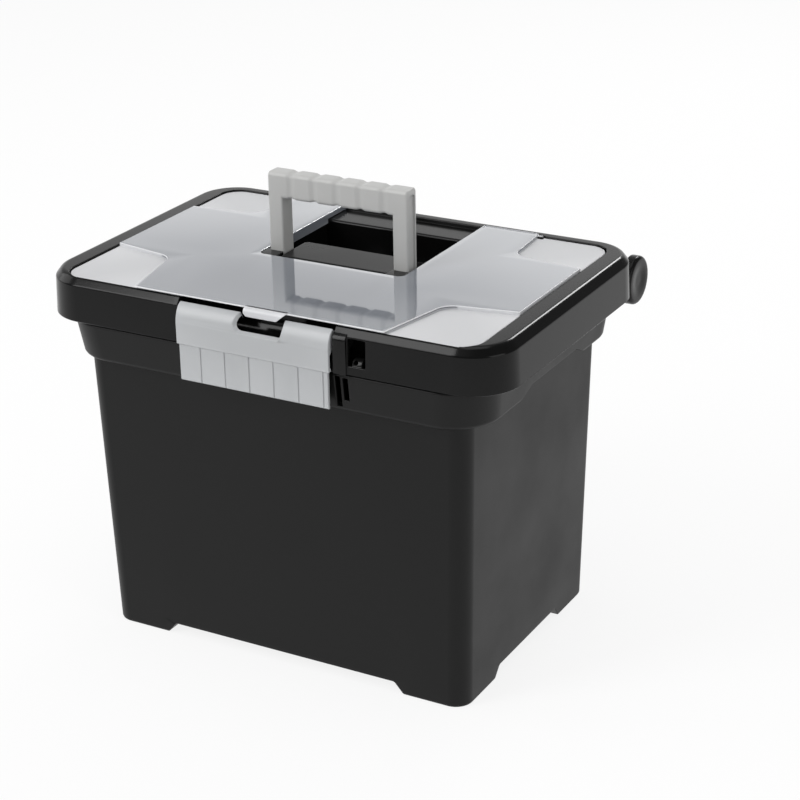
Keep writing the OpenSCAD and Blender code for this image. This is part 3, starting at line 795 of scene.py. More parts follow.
@dataclass
class Tub:
    """The box's body: drafted walls on four feet, a flared collar, file rails and hinge lugs."""

    hinge: RearHinge
    seam_z: float = 256.0
    wall: float = 2.5
    low_half: Point2 = (154.6, 106.4)
    top_half: Point2 = (159.6, 111.4)
    corner_r: float = 14.0
    edge: float = 2.0
    collar_z: float = 224.5
    # The collar's rolled lower edge: how wide and how high it is
    roll: Point2 = (6.5, 4.5)
    collar_half: Point2 = (172.5, 119.6)
    collar_top: Point2 = (175.7, 122.8)
    collar_r: float = 36.0
    collar_lip: float = 0.8
    # The dark line under the lid: how far the collar stands back there, and how high it is
    seam: Point2 = (1.5, 1.5)
    # The floor's rounding: how far it is drawn in at each height over the floor
    floor_ease: tuple[Point2, ...] = ((3.0, 0.0), (0.9, 0.9), (0.0, 3.0))
    foot_h: float = 9.2
    foot_l: float = 50.0
    foot_slope: float = 8.0
    foot_r: float = 2.5
    grip_y: float = 3.0
    grip_low: float = 58.0
    grip_high: float = 37.0
    grip_h: float = 9.5
    grip_r: float = 5.0
    rail: Point2 = (152.25, 154.75)
    rail_half: float = 88.0
    rail_h: float = 18.5
    shelf_z: float = 231.0
    # How far the shelf and the wall under it reach into the tub's wall
    shelf_in: Point2 = (1.2, 2.5)
    web_z: float = 229.0
    catch: Point3 = (38.0, 243.0, 247.0)
    catch_y: float = -123.0
    # Each slot: lowest and highest X, and lowest and highest Z
    slots: tuple[Four, ...] = (
        (63.2, 67.2, 229.5, 253.0), (69.3, 73.4, 234.5, 252.0),
    )
    slot_d: float = 3.4
    # How far cuts reach past the collar, and how high the blocks over the feet are
    reach: float = 15.0
    soft: float = 0.7

    def outside(self) -> Solid:
        """Lofts the drafted walls with a rounded lower edge."""
        low = quarter(self.edge, self.edge, 3)
        return walls("tub_shell", [
            *[drawn_in(self.low_half, self.corner_r, margin, z) for margin, z in low],
            Ring(*self.top_half, self.corner_r, self.collar_z + self.wall),
        ])

    def collar(self) -> Solid:
        """Lofts the collar with a rolled lower edge and an eased upper one."""
        low = [(margin, self.collar_z + z) for margin, z in quarter(*self.roll, 6)]
        lip, back, line_z = self.collar_lip, self.seam[0], self.seam_z - self.seam[1]
        top = [(0.0, line_z - lip), (lip / 2, line_z), (back, line_z), (back, self.seam_z)]
        return walls("collar", [
            *[drawn_in(self.collar_half, self.collar_r, margin, z) for margin, z in low],
            *[drawn_in(self.collar_top, self.collar_r, margin, z) for margin, z in top],
        ])

    def hollow(self, floor: float) -> Solid:
        """Lofts the inside of the drafted walls over a floor."""
        wall, r = self.wall, self.corner_r
        low = [drawn_in(self.low_half, r, wall + inset, floor + z) for inset, z in self.floor_ease]
        top = self.collar_z + self.grip_h + wall + OVER
        return walls("hollow", [*low, drawn_in(self.top_half, r, wall, top)])

    def collar_hollow(self) -> Solid:
        """Lofts the inside of the collar, open at the seam."""
        wall, r = self.wall, self.collar_r
        roll, roll_h = self.roll
        return walls("collar_hollow", [
            drawn_in(self.collar_half, r, roll + wall, self.collar_z + wall),
            drawn_in(self.collar_half, r, wall, self.collar_z + roll_h + wall),
            drawn_in(self.collar_top, r, wall, self.seam_z + OVER),
        ])

    def grip(self, grow: float) -> Solid:
        """Draws the finger grip under the collar's right end.

        Args:
            grow: How much larger it is all round, for the skin behind it.

        Returns:
            The solid.
        """
        low, high = self.grip_low + grow, self.grip_high + grow
        top = self.collar_z + self.grip_h + grow
        bottom = self.collar_z - OVER
        run = OVER * (low - high) / (self.grip_h + grow)
        y, r = self.grip_y, self.grip_r
        outline = rounded(
            [(y - low - run, bottom), (y + low + run, bottom), (y + high, top), (y - high, top)],
            [0, 0, r, r],
        )
        far = self.collar_top[0] + self.reach
        return prism("grip", Along.X, outline, self.top_half[0] - grow, far)

    def foot_gap(self, along: Along, half: float) -> Solid:
        """Draws the gap between two feet right through the box.

        Args:
            along: The axis that the gap runs along.
            half: Half of the tub's low side across the gap.

        Returns:
            The solid to cut away.
        """
        inner, far = half - self.foot_l, self.collar_top[0] + self.reach
        top = inner - self.foot_slope
        low = inner + OVER * self.foot_slope / self.foot_h
        outline = rounded(
            [(-low, -OVER), (low, -OVER), (top, self.foot_h), (-top, self.foot_h)],
            [0, 0, self.foot_r, self.foot_r],
        )
        return prism("gap", along, outline, -far, far)

    def lug(self) -> Solid:
        """Builds the right hinge lug behind the tub's back wall."""
        (y, z), r = self.hinge.axis, self.hinge.knuckle_r
        span = self.hinge.lug
        root = self.collar_half[1] - self.reach
        barrel = rod("lug", span, (y, z), r)
        web = prism("web", Along.X, [
            (root, self.collar_z + self.roll[1]), (self.collar_half[1], self.web_z),
            (y + r, z - r), (y + r, z), (y, z), (self.collar_top[1] - self.wall, self.seam_z),
            (root, self.seam_z),
        ], *span)
        return combine(barrel, [web], Join.ADD)

    def rail_rim(self) -> Solid:
        """Builds the right rail that hanging files hook over, on its shelf."""
        (inner, outer), half, z = self.rail, self.rail_half, self.shelf_z
        side = self.top_half[0]
        low = (inner, -half, z - self.wall)
        rim = block("rail", low, (outer, half, z + self.rail_h))
        shelf = block("shelf", low, (side - self.shelf_in[0], half, z))
        back = block("back", (side - self.shelf_in[1], -half, self.collar_z), (side, half, z))
        return combine(rim, [shelf, back], Join.ADD)

    def face_y(self, z: float) -> float:
        """Gives Y of the collar's leaning front face at a height."""
        bend = self.collar_z + self.roll[1]
        lean = self.collar_top[1] - self.collar_half[1]
        return -self.collar_half[1] - lean * (z - bend) / (self.seam_z - bend)

    def planes(self) -> list[Plane]:
        """Gives the planes just past the feet, the gaps between them and the collar's slots."""
        apart = 4.0
        planes = [(Along.Z, self.foot_h + apart), (Along.Z, self.collar_z - apart)]
        for along, half in ((Along.X, self.low_half[0]), (Along.Y, self.low_half[1])):
            inner = half - self.foot_l
            for place in (inner + apart, inner - self.foot_slope - apart):
                planes += [(along, place), (along, -place)]
        planes += [(Along.X, self.slots[0][0] - apart / 2), (Along.X, self.slots[1][1] + apart / 2)]
        return planes

    def build(self) -> None:
        """Makes, dresses and places the tub."""
        reach = self.collar_top[0] + self.reach
        shell = combine(self.outside(), [self.collar(), *both_ends(self.lug())], Join.ADD)
        inside = combine(self.collar_hollow(), both_ends(self.grip(self.wall)), Join.CUT)
        room = self.foot_l - self.wall
        feet = []
        for x in (-self.low_half[0], self.low_half[0]):
            for y in (-self.low_half[1], self.low_half[1]):
                high = (x + room, y + room, self.reach)
                feet.append(block("foot", (x - room, y - room, 0.0), high))
        corners = combine(feet[0], feet[1:], Join.ADD)
        cuts = [
            self.hollow(self.foot_h + self.wall), inside,
            combine(self.hollow(self.wall), [corners], Join.SHARE), *both_ends(self.grip(0.0)),
            self.foot_gap(Along.Y, self.low_half[0]), self.foot_gap(Along.X, self.low_half[1]),
        ]
        shell = combine(shell, cuts, Join.CUT)
        half, low, high = self.catch
        rib = block("catch", (-half, self.catch_y, low), (half, -self.collar_half[1], high))
        shell = combine(shell, [rib, *both_ends(self.rail_rim())], Join.ADD)
        holes = both_ends(rod(
            "bore", (self.hinge.lug[0] - OVER, self.hinge.lug[1] + OVER), self.hinge.axis,
            self.hinge.pin_r + FIT,
        ))
        for x0, x1, z0, z1 in self.slots:
            holes.append(prism("slot", Along.X, [
                (-reach, z0), (-reach, z1), (self.face_y(z1) + self.slot_d, z1),
                (self.face_y(z0) + self.slot_d, z0),
            ], x0, x1))
        shell = combine(shell, holes, Join.CUT)
        soften(shell, self.soft, planes=self.planes())
        hand_in(shell, TUB_BLACK, "tub", "tub_black", "tub")


@dataclass
class Latch:
    """The grey latch that hangs in front: a rolled top, a smooth band and a grooved pull."""

    pivot: Point2 = (-120.6, 280.0)
    half: float = 63.0
    radius: float = 9.4
    # The rolled top: how deep it curves back, how high it is, and its end in degrees
    roll_way: Point2 = (10.0, 15.0)
    roll_top: float = 287.6
    roll: float = 78.0
    upper: float = 23.0
    lower: float = 28.0
    thick: float = 2.6
    # How far the pull stands back under the band, and the eases over it and at its lower edge
    step: float = 1.0
    step_ease: Point2 = (0.25, 0.8)
    low_ease: Point2 = (0.4, 1.3)
    groove_n: int = 6
    groove_pitch: float = 20.3
    # Widths of a groove at the face and at its bottom
    groove_w: Point2 = (1.1, 0.66)
    groove_d: float = 0.7
    groove_x: float = 7.2
    pull_inset: float = 1.4
    notch: Point2 = (-9.4, 22.2)
    notch_low: float = 278.9
    notch_r: Point2 = (3.0, 1.6)
    # How far the notch's slope opens to the left, downward and to the right, and its depth
    notch_slope: Point3 = (5.6, 5.4, 1.4)
    notch_depth: float = 8.0
    # How far the notch's cutter reaches up, and how much wider it gets on the way
    notch_over: Point2 = (20.0, 6.0)
    cheek_t: float = 2.6
    cheek_r: float = 5.0
    cheek_d: float = 12.0
    pin_r: float = 2.5
    pin_l: float = 9.5
    hook: Point3 = (38.0, 238.0, 242.0)
    hook_y: float = -123.4
    soft: float = 0.45

    def outline(self) -> list[Point2]:
        """Gives the latch's cross-section in Y and Z."""
        y, z = self.pivot
        r, inner_r = self.radius, self.radius - self.thick
        face, low = y - r + self.step, z - self.upper - self.lower
        inner = face + self.thick
        turn_z = z - self.upper
        (in_y, up_z), (small, large) = self.step_ease, self.low_ease
        return [
            *reversed(self.roll_curve(0.0)),
            (y - r, turn_z + up_z), (y - r + in_y, turn_z + up_z / 4), (face, turn_z),
            (face, low + large), (face + small, low + small), (face + large, low), (inner, low),
            (inner, turn_z + self.thick), (y - inner_r, turn_z + self.thick),
            *self.roll_curve(self.thick),
        ]

    def roll_curve(self, inset: float) -> list[Point2]:
        """Gives the curve of the rolled top in Y and Z, from the front up to its end."""
        deep, high = self.roll_way
        middle = (self.pivot[0] - self.radius + deep, self.roll_top - high)
        turns = [math.radians(self.roll * index / 18) for index in range(19)]
        return [(middle[0] - (deep - inset) * math.cos(turn),
                 middle[1] + (high - inset) * math.sin(turn)) for turn in turns]

    def notch_cutter(self) -> Solid:
        """Lofts the notch under the cover's tab, wider at the front so that its edge slopes."""
        (x0, x1), (left, down, right) = self.notch, self.notch_slope
        front, (over, wide) = self.pivot[0] - self.radius, self.notch_over
        rings: list[list[Point3]] = []
        for y, share in ((front - OVER, 1.1), (front + self.notch_depth, 0.0), (front + 30, 0.0)):
            a, b, low = x0 - share * left, x1 + share * right, self.notch_low - share * down
            outline = rounded(
                [(a, low), (b, low), (b + wide, self.notch_low + over),
                 (a - wide, self.notch_low + over)],
                [self.notch_r[0] + share * down, self.notch_r[1] + share * right, 0, 0], 12,
            )
            rings.append(ring_at(Along.Y, outline, y))
        return loft("notch", rings)

    def cheek(self) -> Solid:
        """Builds the right end wall that carries the pivot stub."""
        y, z = self.pivot
        span = (self.half - self.cheek_t, self.half)
        mid = self.radius - self.thick / 2
        boss = rod("cheek", span, self.pivot, self.cheek_r)
        web = prism(
            "web", Along.X,
            [self.pivot, *reversed(self.roll_curve(self.thick / 2)),
             (y - mid, z - self.cheek_d), (y, z - self.cheek_r)],
            *span,
        )
        stub = rod("stub", (self.half - OVER, self.half + self.pin_l), self.pivot, self.pin_r, 32)
        return combine(boss, [web, stub], Join.ADD)

    def pull_cuts(self) -> list[Solid]:
        """Draws the grooves in the pull, and what is cut off its two ends."""
        y, turn_z = self.pivot[0], self.pivot[1] - self.upper
        front, low = y - self.radius, turn_z - self.lower - OVER
        cuts = both_ends(block(
            "inset", (self.half - self.pull_inset, front - OVER, low),
            (self.half + OVER, y, turn_z),
        ))
        bottom = front + self.step + self.groove_d
        top_w, low_w = self.groove_w[0] / 2, self.groove_w[1] / 2
        for index in range(self.groove_n):
            x = self.groove_x + (index - (self.groove_n - 1) / 2) * self.groove_pitch
            outline = [(x - top_w, front - OVER), (x + top_w, front - OVER),
                       (x + low_w, bottom), (x - low_w, bottom)]
            cuts.append(prism("groove", Along.Z, outline, low, turn_z))
        return cuts

    def planes(self) -> list[Plane]:
        """Gives the planes just past the notch's two sides and over the grooves."""
        apart = 8.0
        return [(Along.X, self.notch[0] - apart), (Along.X, self.notch[1] + apart),
                (Along.Z, self.pivot[1] - self.upper + 3.0)]

    def build(self) -> None:
        """Makes, dresses and places the latch."""
        plate = prism("latch_plate", Along.X, self.outline(), -self.half, self.half)
        half, low, high = self.hook
        inner = self.pivot[0] - self.radius + self.thick
        hook = block("hook", (-half, inner, low), (half, self.hook_y, high))
        plate = combine(plate, [*both_ends(self.cheek()), hook], Join.ADD)
        plate = combine(plate, [self.notch_cutter(), *self.pull_cuts()], Join.CUT)
        soften(plate, self.soft, planes=self.planes())
        hand_in(plate, LATCH_GREY, "latch", "grey_plastic", "latch")


@dataclass
class Handle:
    """The grey carry handle: two legs and a grip with six finger lobes."""

    pivot: Point2 = (0.0, 280.0)
    half: float = 59.0
    top_z: float = 352.0
    grip_h: float = 20.0
    grip_d: float = 15.0
    edge: float = 3.0
    leg_x: float = 46.8
    leg_d: float = 15.0
    lobe_n: int = 6
    lobe_gap: float = 4.6
    lobe_in: float = 0.9
    end_r: float = 1.6
    panel_d: float = 1.8
    panel_edge: float = 2.4
    panel_top: float = 4.6
    panel_r: Point2 = (1.5, 3.0)
    pin_r: float = 4.0
    pin_x: float = 42.7
    soft: float = 0.3

    def inset(self, x: float) -> float:
        """Gives how far the grip's skin lies in at X: eased dips between the lobes."""
        pitch = 2 * self.half / self.lobe_n
        place = (x + self.half) / pitch
        away = abs(place - round(place)) * pitch
        if self.half - abs(x) < pitch / 2 or away >= self.lobe_gap:
            return 0.0
        return self.lobe_in * (0.5 + 0.5 * math.cos(math.pi * away / self.lobe_gap))

    def section(self, x: float, inset: float) -> list[Point3]:
        """Gives the grip's cross-section at X, drawn in by a margin."""
        middle = (self.pivot[0], self.top_z - self.grip_h / 2)
        outline = round_rect(
            self.grip_d / 2 - inset, self.grip_h / 2 - inset, max(0.4, self.edge - inset / 2),
            middle, 6,
        )
        return ring_at(Along.X, outline, x)

    def grip(self) -> Solid:
        """Lofts the grip along X through its lobes, with rounded ends."""
        ends = quarter(self.end_r, self.end_r, 4)
        rings = [self.section(away - self.half, inset) for away, inset in reversed(ends)]
        inner, steps = self.half - self.end_r, 2 * round(2 * self.half)
        for index in range(1, steps):
            x = -inner + 2 * inner * index / steps
            rings.append(self.section(x, self.inset(x)))
        rings += [self.section(self.half - away, inset) for away, inset in ends]
        return loft("handle_grip", rings)

    def leg(self) -> Solid:
        """Lofts the right leg along X, with a round foot and eased upright edges."""
        y, top = self.pivot[0], self.top_z - 4.0
        edge = quarter(self.end_r, self.end_r, 4)
        levels = [(self.leg_x + away, inset) for inset, away in edge]
        levels += [(self.half - away, inset) for inset, away in reversed(edge)]
        rings: list[list[Point3]] = []
        for x, inset in levels:
            r = self.leg_d / 2 - inset
            outline = [*arc(self.pivot, r, 180, 360, 24), (y + r, top), (y - r, top)]
            rings.append(ring_at(Along.X, outline, x))
        return loft("leg", rings)

    def panel(self) -> Solid:
        """Draws the sunk panel in the outer face of the right leg."""
        y, z = self.pivot
        half = self.leg_d / 2 - self.panel_edge
        low, high = z + self.leg_d / 2, self.top_z - self.panel_top
        low_r, high_r = self.panel_r
        outline = rounded([(y - half, low), (y + half, low), (y + half, high), (y - half, high)],
                          [low_r, low_r, high_r, high_r])
        return prism("panel", Along.X, outline, self.half - self.panel_d, self.half + OVER)

    def build(self) -> None:
        """Makes, dresses and places the handle."""
        grip = combine(self.grip(), both_ends(self.leg()), Join.ADD)
        grip = combine(grip, both_ends(self.panel()), Join.CUT)
        stub = rod("stub", (self.pin_x, self.leg_x + 3 * OVER), self.pivot, self.pin_r, 40)
        grip = combine(grip, both_ends(stub), Join.ADD)
        soften(grip, self.soft, 2, 40)
        hand_in(grip, GREY, "carry_handle", "grey_plastic", "carry_handle")


@dataclass
class Cover:
    """The clear cover over the organiser: raised plate, frosted corner pads, lip and tab."""

    latch: Latch
    half_x: float = 169.3
    front: float = -119.4
    back: float = 110.4
    corner: float = 15.6
    under_z: float = 287.6
    pad_z: float = 289.4
    top_z: float = 292.0
    thick: float = 1.8
    lip: float = 2.6
    lip_t: float = 1.2
    # Each pad: X and Y of its inner corner, Y at the cover's end, and X at its front or back
    pad_front: Four = (116.0, -57.0, -47.6, 103.0)
    pad_back: Four = (112.2, 59.0, 54.0, 108.6)
    pad_r: float = 14.0
    cut_half: float = 61.6
    cut_front: float = -20.5
    cut_r: float = 6.0
    skirt: Point3 = (-8.4, 82.9, 284.0)
    bar: Point3 = (110.7, 289.5, 2.5)
    bar_end: float = 108.0
    # The pivot stub's end and radius, and the room round the lid's boss that takes it
    stub: Point2 = (112.0, 1.4)
    boss_room: Point2 = (113.4, 3.3)
    # Half length and radius of the room over the latch
    latch_room: Point2 = (65.5, 9.8)
    tab: Point2 = (-8.2, 27.5)
    tab_low: Point2 = (-6.2, 18.6)
    tab_y: float = -125.6
    tab_z: float = 285.6
    # Radii of the tab's roll, of its edge and of its three lower corners
    tab_r: Point2 = (3.0, 0.7)
    tab_corners: Point3 = (1.0, 1.4, 3.0)
    # How high the tab's left corner is cut off
    tab_cut: float = 2.4
    # How far under and over the cover its cutters reach, and how far past its back
    span: Point2 = (270.0, 300.0)
    reach: float = 15.0
    # How far the pads reach under the plate, and how level a face is that isn't an edge
    pad_in: float = 0.3
    level: float = 0.97
    # Edge roundings of the plate, and of the pads and the tab
    soft: Point2 = (0.55, 0.4)

    def plate(self, rim: float, pad: float) -> list[Point2]:
        """Gives the raised plate's outline, which leaves a pad out at each corner.

        Args:
            rim: How far its outer edges move out, where the ends move in only.
            pad: How far its edges along the pads move out.

        Returns:
            The outline.
        """
        x, front, back = self.half_x + min(rim, 0.0), self.front - rim, self.back + rim
        inner_f, inner_b = self.pad_front[0] + pad, self.pad_back[0] + pad
        front_y, side_f = self.pad_front[1] - pad, self.pad_front[2] - pad
        front_x = self.pad_front[3] + pad
        back_y, side_b = self.pad_back[1] + pad, self.pad_back[2] + pad
        back_x = self.pad_back[3] + pad
        right = [(front_x, front), (inner_f, front_y), (x, side_f), (x, side_b),
                 (inner_b, back_y), (back_x, back)]
        left = [(-a, b) for a, b in reversed(right)]
        radii = [0, self.pad_r, 0, 0, self.pad_r, 0]
        return rounded([*right, *left], [*radii, *reversed(radii)], 12)

    def cut_out(self, grow: float) -> list[Point2]:
        """Gives the outline of the handle's cut-out, open to the back."""
        half, front, r = self.cut_half + grow, self.cut_front - grow, self.cut_r + grow
        back = self.back + self.reach
        return rounded([(-half, front), (half, front), (half, back), (-half, back)],
                       [r, r, 0, 0], 12)

    def boss_rooms(self) -> list[Solid]:
        """Gives the room round the lid's two hinge bosses."""
        (end, room), (low, high) = self.boss_room, self.span
        return both_ends(block(
            "room", (self.bar_end, self.bar[0] - room, low), (end, self.back + self.reach, high)
        ))

    def pads(self) -> Solid:
        """Builds the four frosted pads at the corners, one step below the plate."""
        half, middle = (self.back - self.front) / 2, (self.back + self.front) / 2
        outline = round_rect(self.half_x, half, self.corner, (0.0, middle))
        base = prism("cover_pads", Along.Z, outline, self.under_z, self.pad_z)
        plate = prism("plate", Along.Z, self.plate(OVER, -self.pad_in), *self.span)
        return combine(base, [plate, *self.boss_rooms()], Join.CUT)

    def raised_plate(self) -> Solid:
        """Builds the raised plate with its lip, hollow from below and cut out for the handle."""
        body = prism("cover_plate", Along.Z, self.plate(0, 0), self.under_z, self.top_z)
        lip = prism("lip", Along.Z, self.plate(self.lip, 0), self.top_z - self.lip_t, self.top_z)
        front_part = block("part", (-FAR, -FAR, 0.0), (FAR, self.back, FAR))
        lip = combine(lip, [front_part], Join.SHARE)
        body = combine(body, [lip], Join.ADD)
        hollow = prism(
            "hollow", Along.Z, self.plate(-self.thick, -self.thick), self.under_z - OVER,
            self.top_z - self.thick,
        )
        half, r = self.latch_room
        latch_room = rod("room", (-half, half), self.latch.pivot, r)
        cut = prism("cut", Along.Z, self.cut_out(0), *self.span)
        return combine(body, [hollow, cut, latch_room, *self.boss_rooms()], Join.CUT)

    def walls_round_cut(self) -> list[Solid]:
        """Builds the walls round the cut-out, with deeper skirts along its sides."""
        rim = prism("rim", Along.Z, self.cut_out(self.thick), self.under_z, self.top_z)
        cut = prism("cut", Along.Z, self.cut_out(0), *self.span)
        back = block("back", (-FAR, self.bar[0], 0.0), (FAR, FAR, FAR))
        rim = combine(rim, [cut, back], Join.CUT)
        front, end, low = self.skirt
        skirts = both_ends(block(
            "skirt", (self.cut_half, front, low),
            (self.cut_half + self.thick, end, self.top_z - self.thick + SKIN),
        ))
        return [rim, *skirts]

    def tab_lip(self) -> Solid:
        """Builds the finger tab that rolls over the front of the lid."""
        (x0, x1), (low_0, low_1) = self.tab, self.tab_low
        y, z, top, t = self.tab_y, self.tab_z, self.top_z, self.thick
        r, edge = self.tab_r
        tab = prism("cover_tab", Along.X, [
            (self.front, top), *arc((y + r, top - r), r, 90, 180, 8),
            (y, z + edge), *arc((y + edge, z + edge), edge, 180, 270, 3),
            (y + t, z), *arc((y + r, top - r), r - t, 180, 90, 8), (self.front, top - t),
        ], x0, x1)
        shape = rounded(
            [(x0, top + OVER), (x0, z + self.tab_cut), (low_0, z), (low_1, z), (x1, top + OVER)],
            [0, *self.tab_corners, 0],
        )
        front = prism("front", Along.Y, shape, y - OVER, self.front + OVER)
        return combine(tab, [front], Join.SHARE)

    def hinge_bars(self) -> list[Solid]:
        """Builds the round bars at the back of both arms, with their pivot stubs."""
        y, z, r = self.bar
        bar = rod("bar", (self.cut_half, self.bar_end), (y, z), r, 40)
        stub = rod("stub", (self.bar_end - OVER, self.stub[0]), (y, z), self.stub[1], 24)
        return both_ends(combine(bar, [stub], Join.ADD))

    def paint_edge_glow(self, plate: Solid) -> None:
        """Paints the plate's upright outer edges pale: a painted highlight of the light that leaves
        them as lines.
        """
        plate.data.materials.append(COVER_PAINTED_GLOW.material())
        for face in plate.data.polygons:
            high = face.center.z > to_frame((0.0, 0.0, self.pad_z - self.soft[1]))[2]
            inside = abs(face.center.x) < (self.cut_half + 2 * self.thick) * MM
            past = face.center.y > to_frame((0.0, self.cut_front - 2 * self.thick, 0.0))[1]
            if high and abs(face.normal.z) < self.level and not (inside and past):
                face.material_index = 1

    def planes(self) -> list[Plane]:
        """Gives the planes just past the cut-out, the pads and the hinge."""
        apart = 3.0
        planes = [
            (Along.Y, self.cut_front - 2 * apart), (Along.Y, self.pad_front[2] + apart),
            (Along.Y, self.pad_back[2] - apart), (Along.Y, self.bar[0] - 2 * apart),
        ]
        for place in (self.cut_half + 2 * apart, self.pad_front[3] - apart):
            planes += [(Along.X, place), (Along.X, -place)]
        return planes

    def build(self) -> None:
        """Makes, dresses and places the cover."""
        parts = [*self.walls_round_cut(), *self.hinge_bars()]
        plate = combine(self.raised_plate(), parts, Join.ADD)
        soften(plate, self.soft[0], planes=self.planes())
        hand_in(plate, COVER_CLEAR, "organiser_cover", "cover_clear", "organiser_cover")
        self.paint_edge_glow(plate)
        pads = soften(self.pads(), self.soft[1])
        hand_in(pads, COVER_FROSTED, "organiser_cover", "cover_clear")
        apart = 2.0
        planes = [(Along.Z, self.tab_z + self.tab_cut + apart / 2),
                  (Along.Z, self.top_z - self.thick - 0.3 * apart),
                  (Along.X, self.tab_low[0] + apart), (Along.X, self.tab_low[1] - apart)]
        tab = soften(self.tab_lip(), self.soft[1], 3, planes=planes)
        # The whole tab takes the same pale painted edge-glow colour
        hand_in(tab, COVER_PAINTED_GLOW, "organiser_cover", "cover_clear")


@dataclass
class Lid:
    """The lid: a rolled rim round the organiser tray, with a well for the handle."""

    hinge: RearHinge
    latch: Latch
    handle: Handle
    cover: Cover
    half: Point2 = (190.5, 125.5)
    corner: float = 36.0
    base_z: float = 256.3
    rim_z: float = 290.5
    rim_r: float = 6.5
    # The rim's steep band: how far it leans in, how high it is, and the radii of its two edges
    band: Point2 = (4.9, 6.2)
    band_r: Point2 = (3.2, 5.0)
    draft: float = 1.0
    # The ease of its lower edge: how far it is drawn in at each height over the seam
    low_ease: tuple[Point2, ...] = ((0.7, 0.0), (0.2, 0.2), (0.0, 0.7))
    wall: float = 2.5
    # The seat's opening: how far in from the lid's ends, and half its depth
    seat: Point2 = (16.0, 117.8)
    seat_t: float = 2.0
    recess_z: float = 287.3
    recess_x: float = 170.3
    recess_y: Point2 = (-119.8, 110.8)
    recess_r: float = 16.0
    recess_ease: float = 0.9
    tray_x: float = 170.0
    tray_y: Point2 = (-110.4, 110.5)
    tray_z: float = 263.3
    tray_r: float = 12.0
    bin_r: float = 5.0
    divider: float = 2.0
    well_x: float = 64.0
    well_z: float = 263.5
    well_front: float = -20.5
    well_back: float = 83.3
    ledge_ease: float = 2.0
    # The deck before the well: half its length, its front and back, and its corners' radius
    deck_x: float = 61.2
    deck_front: float = -20.1
    deck_y: float = -8.8
    deck_r: float = 5.6
    deck_z: float = 288.5
    ear_z: float = 291.6
    ear_gap: float = 1.2
    platform_x: float = 45.2
    platform_y: Point2 = (-13.0, 22.0)
    platform_z: float = 290.1
    platform_cut: float = 2.4
    # How far the etched plate stands over the platform's body, and how thick it is
    plate: Point2 = (0.6, 1.0)
    pocket_r: float = 10.2
    pocket_x: float = 64.5
    lug_w: float = 10.5
    lug_r: float = 6.4
    left_lug_r: float = 4.0
    window: Four = (75.5, 89.5, 263.0, 283.0)
    window_r: float = 0.8
    # The small eye in the window: lowest and highest X, how far it stands out, and its radius
    eye: Four = (78.6, 86.4, 4.0, 5.0)
    # Its hole: how far in from its corner, and its radius
    eye_hole: Point2 = (2.6, 1.5)
    bar: Point3 = (110.7, 289.5, 2.9)
    # The cover's bosses: lowest and highest X, then lowest and highest Y
    boss: Four = (108.4, 113.0, 107.8, 114.0)
    # Each compartment's rounded floor: how far it is drawn in at each height over the floor
    bin_ease: tuple[Point2, ...] = ((2.0, 0.0), (0.6, 0.6), (0.0, 2.0))
    # Edge roundings of the lid and of the etched plate
    soft: Point2 = (0.5, 0.4)

    def outside(self) -> Solid:
        """Lofts the lid's walls, eased at the seam and rolled over into the rim."""
        low = [(margin, self.base_z + z) for margin, z in self.low_ease]
        return walls("lid_shell", [
            drawn_in(self.half, self.corner, margin, z) for margin, z in [*low, *self.rim_profile()]
        ])

    def rim_profile(self) -> list[Point2]:
        """Gives the rim's outline over the face, as pairs of inset and height.

        Returns:
            Points from the face over a tight edge, a steep band and a second edge to the top.
        """
        face, top = self.draft, self.draft + self.band[0]
        outline = rounded(
            [(face, self.base_z), (face, self.rim_z - self.band[1]), (top, self.rim_z),
             (top + 3 * self.band[0], self.rim_z)],
            [0, self.band_r[0], self.band_r[1], 0],
        )
        return outline[1:-1]

    def inside(self) -> Solid:
        """Lofts the hollow under the rim."""
        half, r, wall = self.half, self.corner, self.wall
        return walls("inside", [
            drawn_in(half, r, wall, self.base_z - OVER),
            drawn_in(half, r, self.draft + wall, self.rim_z - self.rim_r),
            drawn_in(half, r, self.draft + self.rim_r, self.rim_z - wall),
        ])

    def flange(self) -> Solid:
        """Builds the flange inside the lower edge that rests on the collar."""
        (x, y), r, wall = self.half, self.corner, self.wall
        low, high = self.base_z, self.base_z + self.seat_t
        inset = wall / 2
        outer = prism("seat", Along.Z, round_rect(x - inset, y - inset, r - inset), low, high)
        inner = prism(
            "open", Along.Z,
            round_rect(x - wall - self.seat[0], self.seat[1], r - 2 * wall),
            low - OVER, high + OVER,
        )
        return combine(outer, [inner], Join.CUT)

    def recess(self, grow: float, low: float, high: float) -> Solid:
        """Draws the cover's recess, with an eased upper edge where it isn't grown.

        Args:
            grow: How much larger it is all round.
            low: Its lowest height.
            high: Its highest height.

        Returns:
            The solid.
        """
        y0, y1 = self.recess_y
        half, middle = (y1 - y0) / 2, (y1 + y0) / 2
        levels = [(low, grow), (high, grow)]
        if grow == 0:
            ease = self.recess_ease
            edge = [(self.rim_z - down, out) for down, out in quarter(ease, ease, 5)]
            levels = [(low, 0.0), *edge, (high, ease + high - self.rim_z)]
        rings = []
        for z, out in levels:
            outline = round_rect(self.recess_x + out, half + out, self.recess_r + out,
                                 (0.0, middle))
            rings.append(ring_at(Along.Z, outline, z))
        return loft("recess", rings)

    def tray(self) -> list[Solid]:
        """Builds the solid body of the tray, the shelf under the cover and the latch's pocket."""
        y0, y1 = self.tray_y
        wall, half = self.wall, (y1 - y0) / 2
        body = prism(
            "tray", Along.Z, round_rect(self.tray_x, half, self.tray_r, (0.0, (y0 + y1) / 2)),
            self.tray_z - wall, self.recess_z,
        )
        shelf = self.recess(wall / 2, self.recess_z - wall, self.rim_z - wall + SKIN)
        pivot_z = self.latch.pivot[1]
        room = self.pocket_x + wall
        pocket = block(
            "pocket", (-room, wall - self.half[1] - SKIN, pivot_z - self.pocket_r - wall),
            (room, y0 + SKIN, self.recess_z - wall + SKIN),
        )
        return [body, shelf, pocket]

